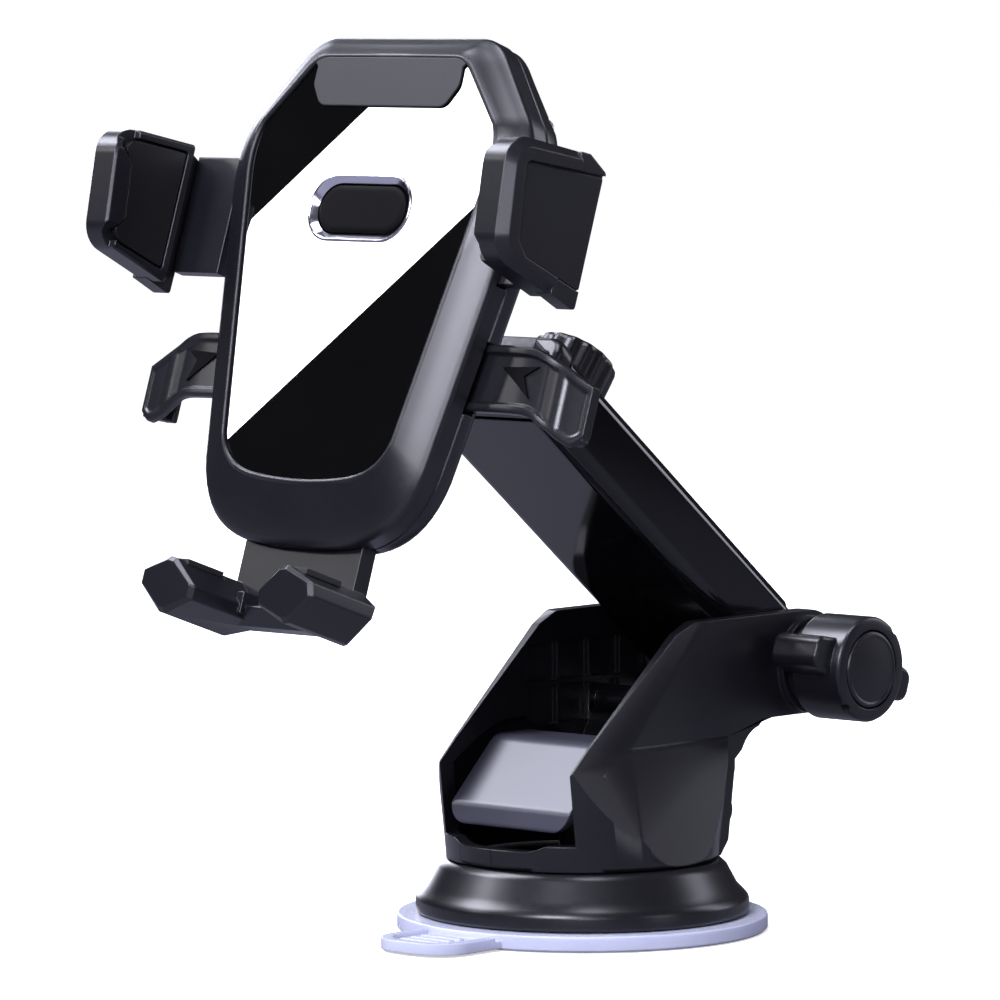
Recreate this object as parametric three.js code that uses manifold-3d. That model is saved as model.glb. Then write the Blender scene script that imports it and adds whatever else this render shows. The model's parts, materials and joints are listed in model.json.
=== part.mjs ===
// A car phone mount: a suction foot and a split housing carry a pitching, telescopic arm, and a
// ball joint on its end carries a clamp head with two jaws, two release wings and a folding foot.
// Millimetres, +Z up. The origin is the centre of the suction pad's underside, -Y is the side
// that the phone faces, and +X is the side of the hinge's winged knob.
import * as THREE from "three";
import { mergeVertices } from "three/addons/utils/BufferGeometryUtils.js";
import Module from "manifold-3d";

const wasm = await Module();
wasm.setup();

// ---- Driving dimensions ----------------------------------------------------------------------
const GAP = 0.3; // between neighbouring pieces
const PAD_R = 40; // suction pad
const PAD_T = 3.4;
const CORE_R = 15; // moulded centre of the pad, drawn up by the stem
const PAD_WEB = 1; // thickness of the pad under its centre
const CORE_TRAVEL = 2; // how far the stem lets the centre down
const RIM_R = 36; // base ring
const RIM_TOP = 7.4;
const NECK_R = 29.4; // where the housing stands on the base ring
const NECK_Z = 15.5;
const HOUSING_HALF = 22.3; // half width over the housing's side walls
const ARM_W = 36; // outer arm's section
const ARM_T = 16.7;
const ARM_OFFSET = 2.3; // how far the arm's middle plane lies above the hinge axis
const ARM_PITCH = 38; // degrees above the horizontal, pointing forwards
const ARM_L = 99.6; // hinge axis to the outer arm's open end
const HINGE_Y = 49.5;
const HINGE_Z = 54.7;
const HINGE_R = 12; // round end of the housing about the hinge axis
const BOLT_R = 3;
const KNOB_R = 11.5;
const BALL_AT = 126.2; // hinge axis to ball centre, along the arm
const BALL_R = 8.5;
const HEAD_TILT = 18.6; // degrees that the head leans back
const HEAD_FRONT = 28.5; // ball centre to the face, along the head's depth
const HEAD_Z0 = -2.3; // height of the head's middle above the ball centre
const FRAME_D = 9; // depth of the front bezel
const HEAD_D = 16; // depth of the whole head
const JAW_IN = 51.3; // half the gap between the open jaws
const JAW_T = 8;
const CLAMP_Z = 15.7; // height of the clamp arms' middle
const CLAMP_H = 25.4;
const CLAMP_Y = [6, 9]; // depth that the clamp arms and the pinion lie at
const TRIGGER_Z = 16.7; // height of the trigger in the middle of the face
const WING_Z = -16; // height of the release wings' middle
const PITCH_R = 5; // pinion's pitch radius
const TEETH = 10;
const LEVER_Y = 3; // pivot of the suction lever
const LEVER_Z = 31;
const LOCK_AT = 83; // hinge axis to the fluted knob, along the arm

const rad = THREE.MathUtils.degToRad;

// ---- Materials -------------------------------------------------------------------------------
const plain = (color, roughness, metalness = 0) =>
  new THREE.MeshStandardMaterial({ color, roughness, metalness });
const blackPlastic = plain(0x1b1b20, 0.35);
const greyPlastic = plain(0x2e2e35, 0.45);
const glossBlack = plain(0x08080a, 0.06);
const leverPlastic = plain(0x77748a, 0.25);
const rubber = plain(0x101012, 0.8);
const softPad = plain(0xd9dbea, 0.3);
const chrome = plain(0xc9c8d6, 0.2, 1);
const steel = plain(0x9a9aa2, 0.35, 1);

// ---- Solids ----------------------------------------------------------------------------------
function solid(geometry) {
  const bare = geometry.index ? geometry.toNonIndexed() : geometry.clone();
  bare.deleteAttribute("normal");
  bare.deleteAttribute("uv");
  const merged = mergeVertices(bare, 1e-4);
  return new wasm.Manifold(
    new wasm.Mesh({
      numProp: 3,
      vertProperties: merged.attributes.position.array,
      triVerts: new Uint32Array(merged.index.array),
    }),
  );
}

const join = (first, ...others) => others.reduce((sum, one) => sum.add(one), first);
const cut = (first, ...others) => others.reduce((rest, one) => rest.subtract(one), first);
const common = (first, ...others) => others.reduce((rest, one) => rest.intersect(one), first);

function geometryOf(body) {
  const mesh = body.getMesh();
  return new THREE.BufferGeometry()
    .setAttribute("position", new THREE.BufferAttribute(mesh.vertProperties, 3))
    .setIndex(new THREE.BufferAttribute(mesh.triVerts, 1));
}

function piece(parent, name, body, material) {
  const mesh = new THREE.Mesh(geometryOf(body), material);
  mesh.name = name;
  parent.add(mesh);
  return mesh;
}

function box([x0, x1], [y0, y1], [z0, z1]) {
  const shape = new THREE.BoxGeometry(x1 - x0, y1 - y0, z1 - z0);
  return solid(shape.translate((x0 + x1) / 2, (y0 + y1) / 2, (z0 + z1) / 2));
}

// An outline drawn in (y, z), as wide as the stretch [x0, x1].
function alongX(outline, [x0, x1], curveSegments = 8) {
  const shape = new THREE.ExtrudeGeometry(outline, {
    depth: x1 - x0,
    bevelEnabled: false,
    curveSegments,
  });
  shape.applyMatrix4(new THREE.Matrix4().set(0, 0, 1, x0, 1, 0, 0, 0, 0, 1, 0, 0, 0, 0, 0, 1));
  return solid(shape);
}

// An outline drawn in (x, z), as deep as the stretch [y0, y1].
function alongY(outline, [y0, y1], curveSegments = 8) {
  const shape = new THREE.ExtrudeGeometry(outline, {
    depth: y1 - y0,
    bevelEnabled: false,
    curveSegments,
  });
  shape.applyMatrix4(new THREE.Matrix4().set(1, 0, 0, 0, 0, 0, -1, y1, 0, 1, 0, 0, 0, 0, 0, 1));
  return solid(shape);
}

// An outline drawn in (x, y), as tall as the stretch [z0, z1].
function alongZ(outline, [z0, z1], curveSegments = 8) {
  const shape = new THREE.ExtrudeGeometry(outline, {
    depth: z1 - z0,
    bevelEnabled: false,
    curveSegments,
  });
  return solid(shape.translate(0, 0, z0));
}

const turns = {
  x: new THREE.Matrix4().makeRotationZ(-Math.PI / 2),
  y: new THREE.Matrix4(),
  z: new THREE.Matrix4().makeRotationX(Math.PI / 2),
};

// A cylinder from a to b along one axis, its other two coordinates given by the centre.
function rod(axis, radius, [a, b], centre = [0, 0, 0], segments = 24) {
  const shape = new THREE.CylinderGeometry(radius, radius, b - a, segments);
  shape.applyMatrix4(turns[axis]);
  const at = new THREE.Vector3(...centre);
  at[axis] = (a + b) / 2;
  return solid(shape.translate(at.x, at.y, at.z));
}

// A turned piece: [radius, height] pairs that close on themselves, about an axis through centre.
function turned(axis, profile, centre = [0, 0, 0], segments = 40) {
  const points = profile.map(([r, h]) => new THREE.Vector2(r, h));
  if (profile[0][0] > 0) points.push(points[0].clone());
  const shape = new THREE.LatheGeometry(points, segments);
  shape.applyMatrix4(turns[axis]);
  const body = solid(shape.translate(...centre));
  if (body.volume() > 0) return body;
  points.reverse();
  const flipped = new THREE.LatheGeometry(points, segments).applyMatrix4(turns[axis]);
  return solid(flipped.translate(...centre));
}

function polygon(points) {
  return new THREE.Shape(points.map(([a, b]) => new THREE.Vector2(a, b)));
}

// A polygon whose corners are rounded; each point is [a, b, radius].
function rounded(points) {
  const shape = new THREE.Shape();
  points.forEach(([a, b, r], i) => {
    const corner = new THREE.Vector2(a, b);
    const before = new THREE.Vector2(...points.at(i - 1).slice(0, 2)).sub(corner);
    const after = new THREE.Vector2(...points[(i + 1) % points.length].slice(0, 2)).sub(corner);
    const half = before.angleTo(after) / 2;
    const back = r / Math.tan(half);
    const start = corner.clone().addScaledVector(before.normalize(), back);
    const end = corner.clone().addScaledVector(after.normalize(), back);
    if (i) shape.lineTo(start.x, start.y);
    else shape.moveTo(start.x, start.y);
    if (r) shape.quadraticCurveTo(a, b, end.x, end.y);
  });
  shape.closePath();
  return shape;
}

function roundedBox(halfWidth, z0, z1, radius) {
  return rounded([
    [-halfWidth, z0, radius],
    [halfWidth, z0, radius],
    [halfWidth, z1, radius],
    [-halfWidth, z1, radius],
  ]);
}

// Everything on the far side of a plane, given by its normal and its distance from the origin.
function beyond(normal, distance) {
  const size = 200;
  const shape = new THREE.BoxGeometry(size, size, size).translate(size / 2 + distance, 0, 0);
  const towards = new THREE.Vector3(...normal).normalize();
  const turn = new THREE.Quaternion().setFromUnitVectors(new THREE.Vector3(1, 0, 0), towards);
  return solid(shape.applyQuaternion(turn));
}

// A skin through closed outlines in (x, z), one at each depth y.
function loft(sections, segments = 56) {
  const rows = sections.length - 1;
  const shape = new THREE.CylinderGeometry(1, 1, 1, segments, rows);
  const rings = sections.map(({ outline }) => outline.getSpacedPoints(segments));
  const place = shape.attributes.position;
  for (let i = 0; i < place.count; i++) {
    const x = place.getX(i);
    const z = place.getZ(i);
    const row = Math.round((place.getY(i) + 0.5) * rows);
    const step = Math.round((Math.atan2(z, x) / (2 * Math.PI)) * segments + segments) % segments;
    const onAxis = Math.hypot(x, z) < 0.5;
    const at = onAxis ? new THREE.Vector2(0, 0) : rings[row][step];
    place.setXYZ(i, at.x, sections[row].y, at.y);
  }
  const body = solid(shape);
  if (body.volume() > 0) return body;
  const flipped = shape.index.array;
  for (let i = 0; i < flipped.length; i += 3) {
    [flipped[i + 1], flipped[i + 2]] = [flipped[i + 2], flipped[i + 1]];
  }
  return solid(shape);
}

// A coil spring along X about (y, z).
function coil([x0, x1], y, z, radius, wire, turnCount) {
  class Helix extends THREE.Curve {
    getPoint(t, target = new THREE.Vector3()) {
      const angle = 2 * Math.PI * turnCount * t;
      const x = x0 + (x1 - x0) * t;
      return target.set(x, y + radius * Math.cos(angle), z + radius * Math.sin(angle));
    }
  }
  const section = new THREE.Shape().absarc(0, 0, wire, 0, 2 * Math.PI);
  return solid(
    new THREE.ExtrudeGeometry(section, {
      steps: turnCount * 9, // nine straight stretches to a turn
      curveSegments: 2,
      extrudePath: new Helix(),
    }),
  );
}

// A screw along -axis from its head: head radius and height, shank radius and length.
function screw(axis, sign, at, centre, [headR, headH], [shankR, shankL]) {
  const span = (length) => [at, at - sign * length].sort((a, b) => a - b);
  const head = rod(axis, headR, span(headH), centre, 16);
  return join(head, rod(axis, shankR, span(headH + shankL), centre, 12));
}

const root = new THREE.Group();

// ---- Suction foot ----------------------------------------------------------------------------
function suctionFoot(base) {
  const disc = rod("z", PAD_R, [0, PAD_T], [0, 0, 0], 56);
  const pocket = rod("z", CORE_R, [PAD_WEB, PAD_T + 1]);
  const tab = alongZ(
    rounded([
      [-11, -PAD_R + 4, 0],
      [11, -PAD_R + 4, 0],
      [11, -PAD_R - 17, 6],
      [-11, -PAD_R - 17, 6],
    ]),
    [0.4, 2.8],
    4,
  );
  piece(base, "suction_pad", cut(join(disc, tab), pocket), softPad);

  const coreLow = PAD_WEB + GAP + CORE_TRAVEL;
  const coreHigh = coreLow + 2.6;
  const core = rod("z", CORE_R - GAP, [coreLow, coreHigh]);
  piece(base, "pad_core", core, softPad);

  const flange = coreHigh + GAP;
  const stem = join(rod("z", 12, [flange, flange + 2.4]), rod("z", 5, [flange, 27], [0, 0, 0], 20));
  const pinHole = rod("x", 1.8, [-6, 6], [0, 0, 24], 12);
  piece(base, "suction_stem", cut(stem, pinHole), greyPlastic);
  piece(base, "stem_pin", rod("x", 1.5, [-9, 9], [0, 0, 24], 12), steel);

  const foot = PAD_T + GAP;
  const skirt = turned("z", [
    [RIM_R, foot],
    [RIM_R, RIM_TOP],
    [NECK_R + 0.6, NECK_Z - GAP],
    [20, NECK_Z - GAP],
    [20, NECK_Z - 2.8],
    [26, NECK_Z - 2.8],
    [32.5, RIM_TOP - 1],
    [32.5, foot],
  ], [0, 0, 0], 48);
  piece(base, "base_ring", skirt, blackPlastic);
}

// ---- Housing ---------------------------------------------------------------------------------
// The side view of the housing, from its neck up over the open front to the hinge.
function housingSide(inset) {
  const side = new THREE.Shape();
  const r = HINGE_R - inset;
  side.moveTo(-NECK_R + 2 + inset, NECK_Z);
  side.lineTo(-29 + inset, 33);
  side.lineTo(-20.5 + inset, 41 - inset);
  side.lineTo(7, 64 - inset);
  side.quadraticCurveTo(10, 66.7 - inset, 16, HINGE_Z + r);
  side.lineTo(HINGE_Y, HINGE_Z + r);
  side.absarc(HINGE_Y, HINGE_Z, r, Math.PI / 2, -Math.PI / 2, true);
  side.lineTo(33, HINGE_Z - r);
  side.quadraticCurveTo(25.5 - inset, HINGE_Z - r - 0.5, 25 - inset, 35.5);
  side.lineTo(22 - inset, NECK_Z);
  side.closePath();
  return side;
}

// The space between the flat flanks: upright beside the arm, spread to the neck's width below.
function flanks(inset) {
  const upper = HOUSING_HALF - inset;
  const lower = NECK_R - inset;
  return alongY(
    polygon([
      [-lower, NECK_Z - 1],
      [lower, NECK_Z - 1],
      [upper, 42],
      [upper, 90],
      [-upper, 90],
      [-upper, 42],
    ]),
    [-60, 90],
  );
}

const housingScrews = [
  ["housing_screw_upper", 30.5, 45.5],
  ["housing_screw_lower", 21.5, 25],
];

function housing(base) {
  const inner = ARM_W / 2 + 0.5;
  // Up to the mouth's shoulders the walls stay inside the cup's round outline.
  const cupR = 31.2;
  const shoulders = 45;
  const roundFront = turned("z", [
    [0, NECK_Z - 1],
    [NECK_R - 0.1, NECK_Z - 1],
    [cupR, 36],
    [cupR, shoulders],
    [2 * cupR, shoulders],
    [2 * cupR, 3 * cupR],
    [0, 3 * cupR],
  ], [0, 0, 0], 56);
  const back = box([-2 * cupR, 2 * cupR], [0, 3 * cupR], [NECK_Z - 1, 3 * cupR]);
  const sides = alongX(housingSide(0), [-HOUSING_HALF, HOUSING_HALF]);
  const walls = common(sides, join(roundFront, back));
  const round = turned("z", [
    [0, NECK_Z],
    [NECK_R, NECK_Z],
    [31.4, 36],
    [31.4, 41],
    [0, 41],
  ], [0, 0, 0], 56);
  const below = alongX(
    polygon([
      [-40, 10],
      [60, 10],
      [60, 41],
      [-20.5, 41],
      [-40, 22.6],
    ]),
    [-40, 40],
  );
  const cup = common(round, below, flanks(0));
  const bowl = turned("z", [[0, NECK_Z - 1], [26, NECK_Z - 1], [28, 36], [19, 44], [0, 44]]);
  const well = common(bowl, flanks(2.4));
  const bevels = [-1, 1].map((side) => beyond([0.913 * side, -0.289, 0.287], 35.11));
  const channel = alongX(
    polygon([
      [-40, 21],
      [12, 21],
      [25, 45],
      [70, 45],
      [70, 80],
      [-40, 80],
    ]),
    [-inner, inner],
  );
  const mouth = alongY(roundedBox(inner, 20, 80, 5), [-40, -10], 4);
  const skin = HOUSING_HALF - 1;
  const bosses = housingScrews.map(([, y, z]) => rod("x", 3.5, [-skin, skin], [0, y, z], 16));
  const pockets = [8, 18.5, 29].flatMap((y) =>
    [46, 55.5].map((z) => box([-inner - 1.4, inner + 1.4], [y - 4.8, y + 4.8], [z - 4.2, z + 4.2])),
  );
  const collars = rod("x", 10.6, [-HOUSING_HALF - 1.6, HOUSING_HALF + 1.6], [0, HINGE_Y, HINGE_Z]);
  const pinHole = rod("x", 2.1, [-20.2, 20.2], [0, LEVER_Y, LEVER_Z], 12);
  const boltHole = rod("x", BOLT_R + GAP, [-40, 40], [0, HINGE_Y, HINGE_Z]);
  const nutPocket = rod("x", 6.2, [-40, -HOUSING_HALF + 0.6], [0, HINGE_Y, HINGE_Z], 6);
  let body = cut(join(walls, cup), well, channel, mouth, ...bevels, ...pockets);
  const hollow = box([-inner, inner], [HINGE_Y - 20, HINGE_Y + 20], [30, 90]);
  body = join(body, ...bosses);
  body = join(body, cut(collars, hollow));
  body = cut(body, pinHole, boltHole, nutPocket);
  for (const [, y, z] of housingScrews) {
    body = cut(body, rod("x", 1.8, [-HOUSING_HALF, 9], [0, y, z], 12));
    body = cut(body, rod("x", 3.1, [-HOUSING_HALF - 12, -HOUSING_HALF + 4], [0, y, z], 16));
  }
  const left = common(body, box([-60, -0.15], [-60, 90], [0, 90]));
  const right = common(body, box([0.15, 60], [-60, 90], [0, 90]));
  piece(base, "housing_left", left, blackPlastic);
  piece(base, "housing_right", right, blackPlastic);
  for (const [name, y, z] of housingScrews) {
    piece(base, name, screw("x", -1, -HOUSING_HALF + 2, [0, y, z], [2.6, 1.7], [1.5, 26]), steel);
  }
}

// ---- Suction lever ---------------------------------------------------------------------------
function suctionLever(base) {
  const half = ARM_W / 2 - 1.2;
  const shell = alongX(
    rounded([
      [-24.6, 23.5, 1],
      [-23.4, 28, 1.5],
      [-9.5, 41.5, 3],
      [3, 41.5, 4],
      [9, 35, 4],
      [7, 27, 3],
      [0, 26.5, 2],
    ]),
    [-half, half],
    3,
  );
  const under = alongX(
    polygon([
      [-22.2, 20],
      [-20.4, 27],
      [-8.4, 38.6],
      [20, 38.6],
      [20, 20],
    ]),
    [-half + 3.4, half - 3.4],
  );
  const pivot = [0, LEVER_Y, LEVER_Z];
  const bore = rod("x", 2.1, [-30, 30], pivot, 12);
  piece(base, "suction_lever", cut(shell, under, bore), leverPlastic);
  piece(base, "lever_pin", rod("x", 1.8, [-19.8, 19.8], pivot, 12), steel);
}

// ---- Hinge and its winged knob ---------------------------------------------------------------
function hinge(base) {
  const axis = [0, HINGE_Y, HINGE_Z];
  const bolt = join(
    rod("x", 5.6, [-HOUSING_HALF - 3, -HOUSING_HALF + 0.3], axis, 6),
    rod("x", BOLT_R, [-HOUSING_HALF - 1, 36], axis),
  );
  piece(base, "hinge_bolt", bolt, steel);
  for (const [name, side] of [["washer_left", -1], ["washer_right", 1]]) {
    const near = ARM_W / 2 - 1.3;
    const ends = side > 0 ? [near, near + 1.5] : [-near - 1.5, -near];
    const washer = cut(rod("x", 7.5, ends, axis), rod("x", BOLT_R + GAP, [-40, 40], axis));
    piece(base, name, washer, steel);
  }

  const inner = HOUSING_HALF + 1.6 + GAP;
  const outer = 40;
  const knob = new THREE.Group();
  knob.position.set(0, HINGE_Y, HINGE_Z);
  knob.rotation.x = rad(-18);
  base.add(knob);
  const blade = alongX(
    rounded([
      [-17, -3.2, 3],
      [17, -3.2, 3],
      [17, 3.2, 3],
      [-17, 3.2, 3],
    ]),
    [inner + 1, outer - 4],
    3,
  );
  const drum = rod("x", KNOB_R, [inner + 2.5, outer], [0, 0, 0], 32);
  const grip = join(drum, rod("x", 9.5, [inner, inner + 4]), blade);
  const nutRoom = rod("x", 6, [inner + 3, outer - 3], [0, 0, 0], 6);
  const boltRoom = rod("x", BOLT_R + GAP, [inner - 5, outer - 3]);
  const capRoom = rod("x", 8.6, [outer - 3, outer + 1], [0, 0, 0], 32);
  piece(knob, "wing_knob", cut(grip, nutRoom, boltRoom, capRoom), blackPlastic);
  const hexagon = rod("x", 5.6, [inner + 3.3, inner + 9], [0, 0, 0], 6);
  piece(knob, "knob_nut", cut(hexagon, rod("x", BOLT_R + GAP, [0, 50])), steel);
  piece(knob, "knob_cap", rod("x", 8.3, [outer - 2.7, outer + 0.4], [0, 0, 0], 32), blackPlastic);
}

// ---- Arm -------------------------------------------------------------------------------------
// Drawn along its own +Z, with the hinge axis through its origin and its upper face towards +Y.
function armSection(half, y0, y1, radius) {
  return rounded([
    [-half, y0, radius],
    [half, y0, radius],
    [half, y1, radius],
    [-half, y1, radius],
  ]);
}

function arm(base) {
  const group = new THREE.Group();
  group.position.set(0, HINGE_Y, HINGE_Z);
  group.rotation.x = rad(90 - ARM_PITCH);
  base.add(group);

  const low = ARM_OFFSET - ARM_T / 2;
  const high = ARM_OFFSET + ARM_T / 2;
  const half = ARM_W / 2;
  const wall = 2.2;
  const tube = alongZ(armSection(half, low, high, 3), [9, ARM_L], 4);
  const room = alongZ(armSection(half - wall, low + wall, high - wall, 1.5), [16, ARM_L + 5], 2);
  const barrelHalf = half - 1.6;
  const barrel = rod("x", ARM_T / 2 - ARM_OFFSET + 1.6, [-barrelHalf, barrelHalf]);
  const neck = box([-barrelHalf, barrelHalf], [low + 0.4, high - 1.2], [0, 12]);
  const bore = rod("x", BOLT_R + GAP, [-40, 40]);
  const screwHole = rod("y", 3, [high - 5, high + 5], [0, 0, LOCK_AT]);
  const shoeRoom = rod("y", 5, [high - wall - 0.5, high - 0.7], [0, 0, LOCK_AT]);
  const outer = cut(join(tube, barrel, neck), room, bore, screwHole, shoeRoom);
  piece(group, "outer_arm", outer, blackPlastic);

  const collarEnd = ARM_L + 5.5;
  const innerHalf = half - wall - GAP;
  const innerLow = low + wall + GAP;
  const innerHigh = high - wall - GAP;
  const band = armSection(half - 0.2, low + 0.2, high + 1.8, 4);
  const collar = alongZ(band, [ARM_L + GAP, collarEnd], 5);
  const throat = armSection(innerHalf + GAP, innerLow - GAP, innerHigh + GAP, 1.5);
  const passage = alongZ(throat, [ARM_L - 5, collarEnd + 5], 2);
  piece(group, "arm_collar", cut(collar, passage), blackPlastic);

  const shoe = rod("y", 4.6, [high - wall + 0.1, high - 1], [0, 0, LOCK_AT], 16);
  piece(group, "lock_shoe", shoe, steel);

  const flutes = 12;
  const grip = polygon(
    Array.from({ length: flutes * 4 }, (_, i) => {
      const angle = (2 * Math.PI * i) / (flutes * 4);
      const r = i % 4 < 2 ? 9.6 : 8.7;
      return [r * Math.cos(angle), r * Math.sin(angle)];
    }),
  );
  const lock = new THREE.Group();
  lock.position.set(0, 0, LOCK_AT);
  group.add(lock);
  const handle = alongY(grip, [high + GAP, high + 11.9]);
  const stud = rod("y", 2.6, [high - 0.7, high + 1], [0, 0, 0], 16);
  piece(lock, "extension_knob", join(handle, stud), blackPlastic);

  const innerEnd = collarEnd + 5;
  const inner = alongZ(armSection(innerHalf, innerLow, innerHigh, 1.2), [30, innerEnd], 3);
  const bare = armSection(innerHalf - 2, innerLow + 2, innerHigh - 2, 0.5);
  const core = alongZ(bare, [25, innerEnd - 5], 1);
  const socket = rod("z", 4.3, [innerEnd - 4, innerEnd + 2], [0, ARM_OFFSET, 0]);
  piece(group, "inner_arm", cut(inner, core, socket), greyPlastic);

  const ball = new THREE.SphereGeometry(BALL_R, 20, 12);
  ball.rotateX(Math.PI / 2).translate(0, ARM_OFFSET, BALL_AT);
  const middle = [0, ARM_OFFSET, 0];
  const spigot = rod("z", 4, [innerEnd - 3.7, innerEnd + 1], middle, 20);
  const collarPlate = rod("z", 5.2, [innerEnd + GAP, innerEnd + 1.8], middle, 20);
  const neckRod = rod("z", 3, [innerEnd, BALL_AT], middle, 20);
  piece(group, "ball_stud", join(solid(ball), spigot, collarPlate, neckRod), greyPlastic);
}

// ---- Head ------------------------------------------------------------------------------------
// Drawn with +X to the side, +Y into its depth and +Z up; its face lies at y = 0.
function mirroredOutline(half) {
  const path = new THREE.Shape();
  const [first, ...rest] = half;
  path.moveTo(first[0], first[1]);
  const back = [];
  let at = first;
  for (const [x, z, cx, cz] of rest) {
    if (cx === undefined) path.lineTo(x, z);
    else path.quadraticCurveTo(cx, cz, x, z);
    back.unshift([at[0], at[1], cx, cz]);
    at = [x, z];
  }
  for (const [x, z, cx, cz] of back) {
    if (cx === undefined) path.lineTo(-x, z);
    else path.quadraticCurveTo(-cx, cz, -x, z);
  }
  return path;
}

// The opening in the face: a straight top, cut shoulders, sides that narrow downwards.
function faceOutline(inset = 0) {
  return mirroredOutline([
    [0, -41.4 + inset],
    [12, -40.6 + inset, 6, -41.4 + inset],
    [23.4 - inset, -32, 21.5 - inset, -39.4 + inset],
    [33 - inset, 24],
    [31.8 - inset, 35, 34 - inset, 30.5],
    [22 - inset, 46.8 - inset],
    [17.5 - inset, 48.9 - inset, 20 - inset, 48.9 - inset],
    [0, 48.9 - inset],
  ]);
}

// The outer edge of the head, grown or shrunk by grow.
function rimOutline(grow = 0) {
  return mirroredOutline([
    [0, -54.9 - grow],
    [13, -54.2 - grow, 7, -54.9 - grow],
    [31 + grow, -37.5, 27.5 + grow, -52.4 - grow],
    [40.6 + grow, 20],
    [38.4 + grow, 37, 42.3 + grow, 30],
    [28.2 + grow, 50.5 + grow],
    [20.5 + grow, 54.7 + grow, 24.6 + grow, 54.7 + grow],
    [0, 54.7 + grow],
  ]);
}

const screwPlaces = [
  [-33.2, 38],
  [33.2, 38],
  [-20.6, -45.8],
  [20.6, -45.8],
];

// The trigger's lozenge, with ends that are nearly half round.
function pill(halfLength, halfHeight) {
  return roundedBox(halfLength, TRIGGER_Z - halfHeight, TRIGGER_Z + halfHeight, halfHeight * 0.96);
}

// The stepped tab at the top of the face, and with grow the room it takes in the plate.
function tabOutline(grow = 0) {
  return rounded([
    [-17.5 - grow, 38.6 - grow, 3],
    [17.5 + grow, 38.6 - grow, 3],
    [21.5 + grow, 44, 3],
    [21.5 + grow, 52, 0],
    [-21.5 - grow, 52, 0],
    [-21.5 - grow, 44, 3],
  ]);
}

function headShell(head) {
  const slotH = CLAMP_H / 2 + 0.5;
  const skin = loft([
    { y: FRAME_D, outline: rimOutline() },
    { y: 4, outline: rimOutline() },
    { y: 0, outline: faceOutline(-0.8) },
  ]);
  const opening = loft([
    { y: FRAME_D + 1, outline: faceOutline() },
    { y: -1, outline: faceOutline() },
  ]);
  const tab = alongY(tabOutline(), [0.2, 3.6], 3);
  const clampSlot = box([-60, 60], [5.6, 20], [CLAMP_Z - slotH, CLAMP_Z + slotH]);
  const footSlot = box([-17, 17], [6.3, 20], [-70, -30]);
  const holes = screwPlaces.map(([x, z]) => rod("y", 1.7, [4.6, 20], [x, 0, z], 12));
  const bezel = cut(join(cut(skin, opening), tab), clampSlot, footSlot, ...holes);
  piece(head, "front_bezel", bezel, blackPlastic);

  const tabRoom = alongY(tabOutline(0.4), [-1, 5], 3);
  const plate = loft([
    { y: 2.8, outline: faceOutline(GAP) },
    { y: 0.8, outline: faceOutline(GAP) },
  ]);
  const buttonHole = alongY(pill(14.4, 7.4), [-1, 5], 5);
  piece(head, "face_plate", cut(plate, tabRoom, buttonHole), glossBlack);

  const ring = alongY(pill(14.1, 7.1), [0.1, 3], 5);
  piece(head, "trigger_ring", cut(ring, alongY(pill(12.7, 5.9), [-1, 5], 5)), chrome);
}

function rearCover(head) {
  const edge = FRAME_D + GAP;
  const shell = loft([
    { y: HEAD_D, outline: rimOutline(-5) },
    { y: HEAD_D - 3.5, outline: rimOutline(-0.4) },
    { y: edge, outline: rimOutline(-0.2) },
  ]);
  const hollow = loft([
    { y: HEAD_D - 2.2, outline: rimOutline(-9) },
    { y: edge - 1, outline: rimOutline(-8) },
  ]);
  const ballY = HEAD_FRONT;
  const ballZ = -HEAD_Z0;
  const boss = rod("y", 12.4, [HEAD_D - 3, ballY + 2], [0, 0, ballZ], 32);
  const seat = new THREE.SphereGeometry(BALL_R + 1.9, 20, 12);
  const seatRoom = solid(seat.translate(0, ballY, ballZ));
  const wingSlot = box([-60, 60], [edge - 1, 12.6], [WING_Z - 7.6, WING_Z + 7.6]);
  const footSlot = box([-17, 17], [edge - 1, 11.4], [-70, -30]);
  const axleBoss = rod("y", 3, [12.2, HEAD_D - 1], [0, 0, CLAMP_Z], 16);
  const springPosts = [-1, 1].map((side) =>
    box([side * 12.5 - 1, side * 12.5 + 1], [9.6, HEAD_D - 1], [WING_Z - 4, WING_Z + 4]),
  );
  const axleHole = rod("y", 1.9, [10, HEAD_D - 1.6], [0, 0, CLAMP_Z], 12);
  const holes = screwPlaces.flatMap(([x, z]) => [
    rod("y", 1.7, [5, 20], [x, 0, z], 12),
    rod("y", 3, [HEAD_D - 3.4, 20], [x, 0, z], 16),
  ]);
  const tray = cut(shell, hollow, wingSlot, footSlot);
  const cover = cut(join(tray, boss, axleBoss, ...springPosts), seatRoom, axleHole, ...holes);
  piece(head, "rear_cover", cover, blackPlastic);
  piece(head, "pinion_axle", rod("y", 1.6, [5.7, HEAD_D - 1.9], [0, 0, CLAMP_Z], 12), steel);
  screwPlaces.forEach(([x, z], i) => {
    const fastener = screw("y", 1, HEAD_D - 1.4, [x, 0, z], [2.6, 1.6], [1.4, 7.6]);
    piece(head, `head_screw_${i + 1}`, fastener, steel);
  });
}

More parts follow.
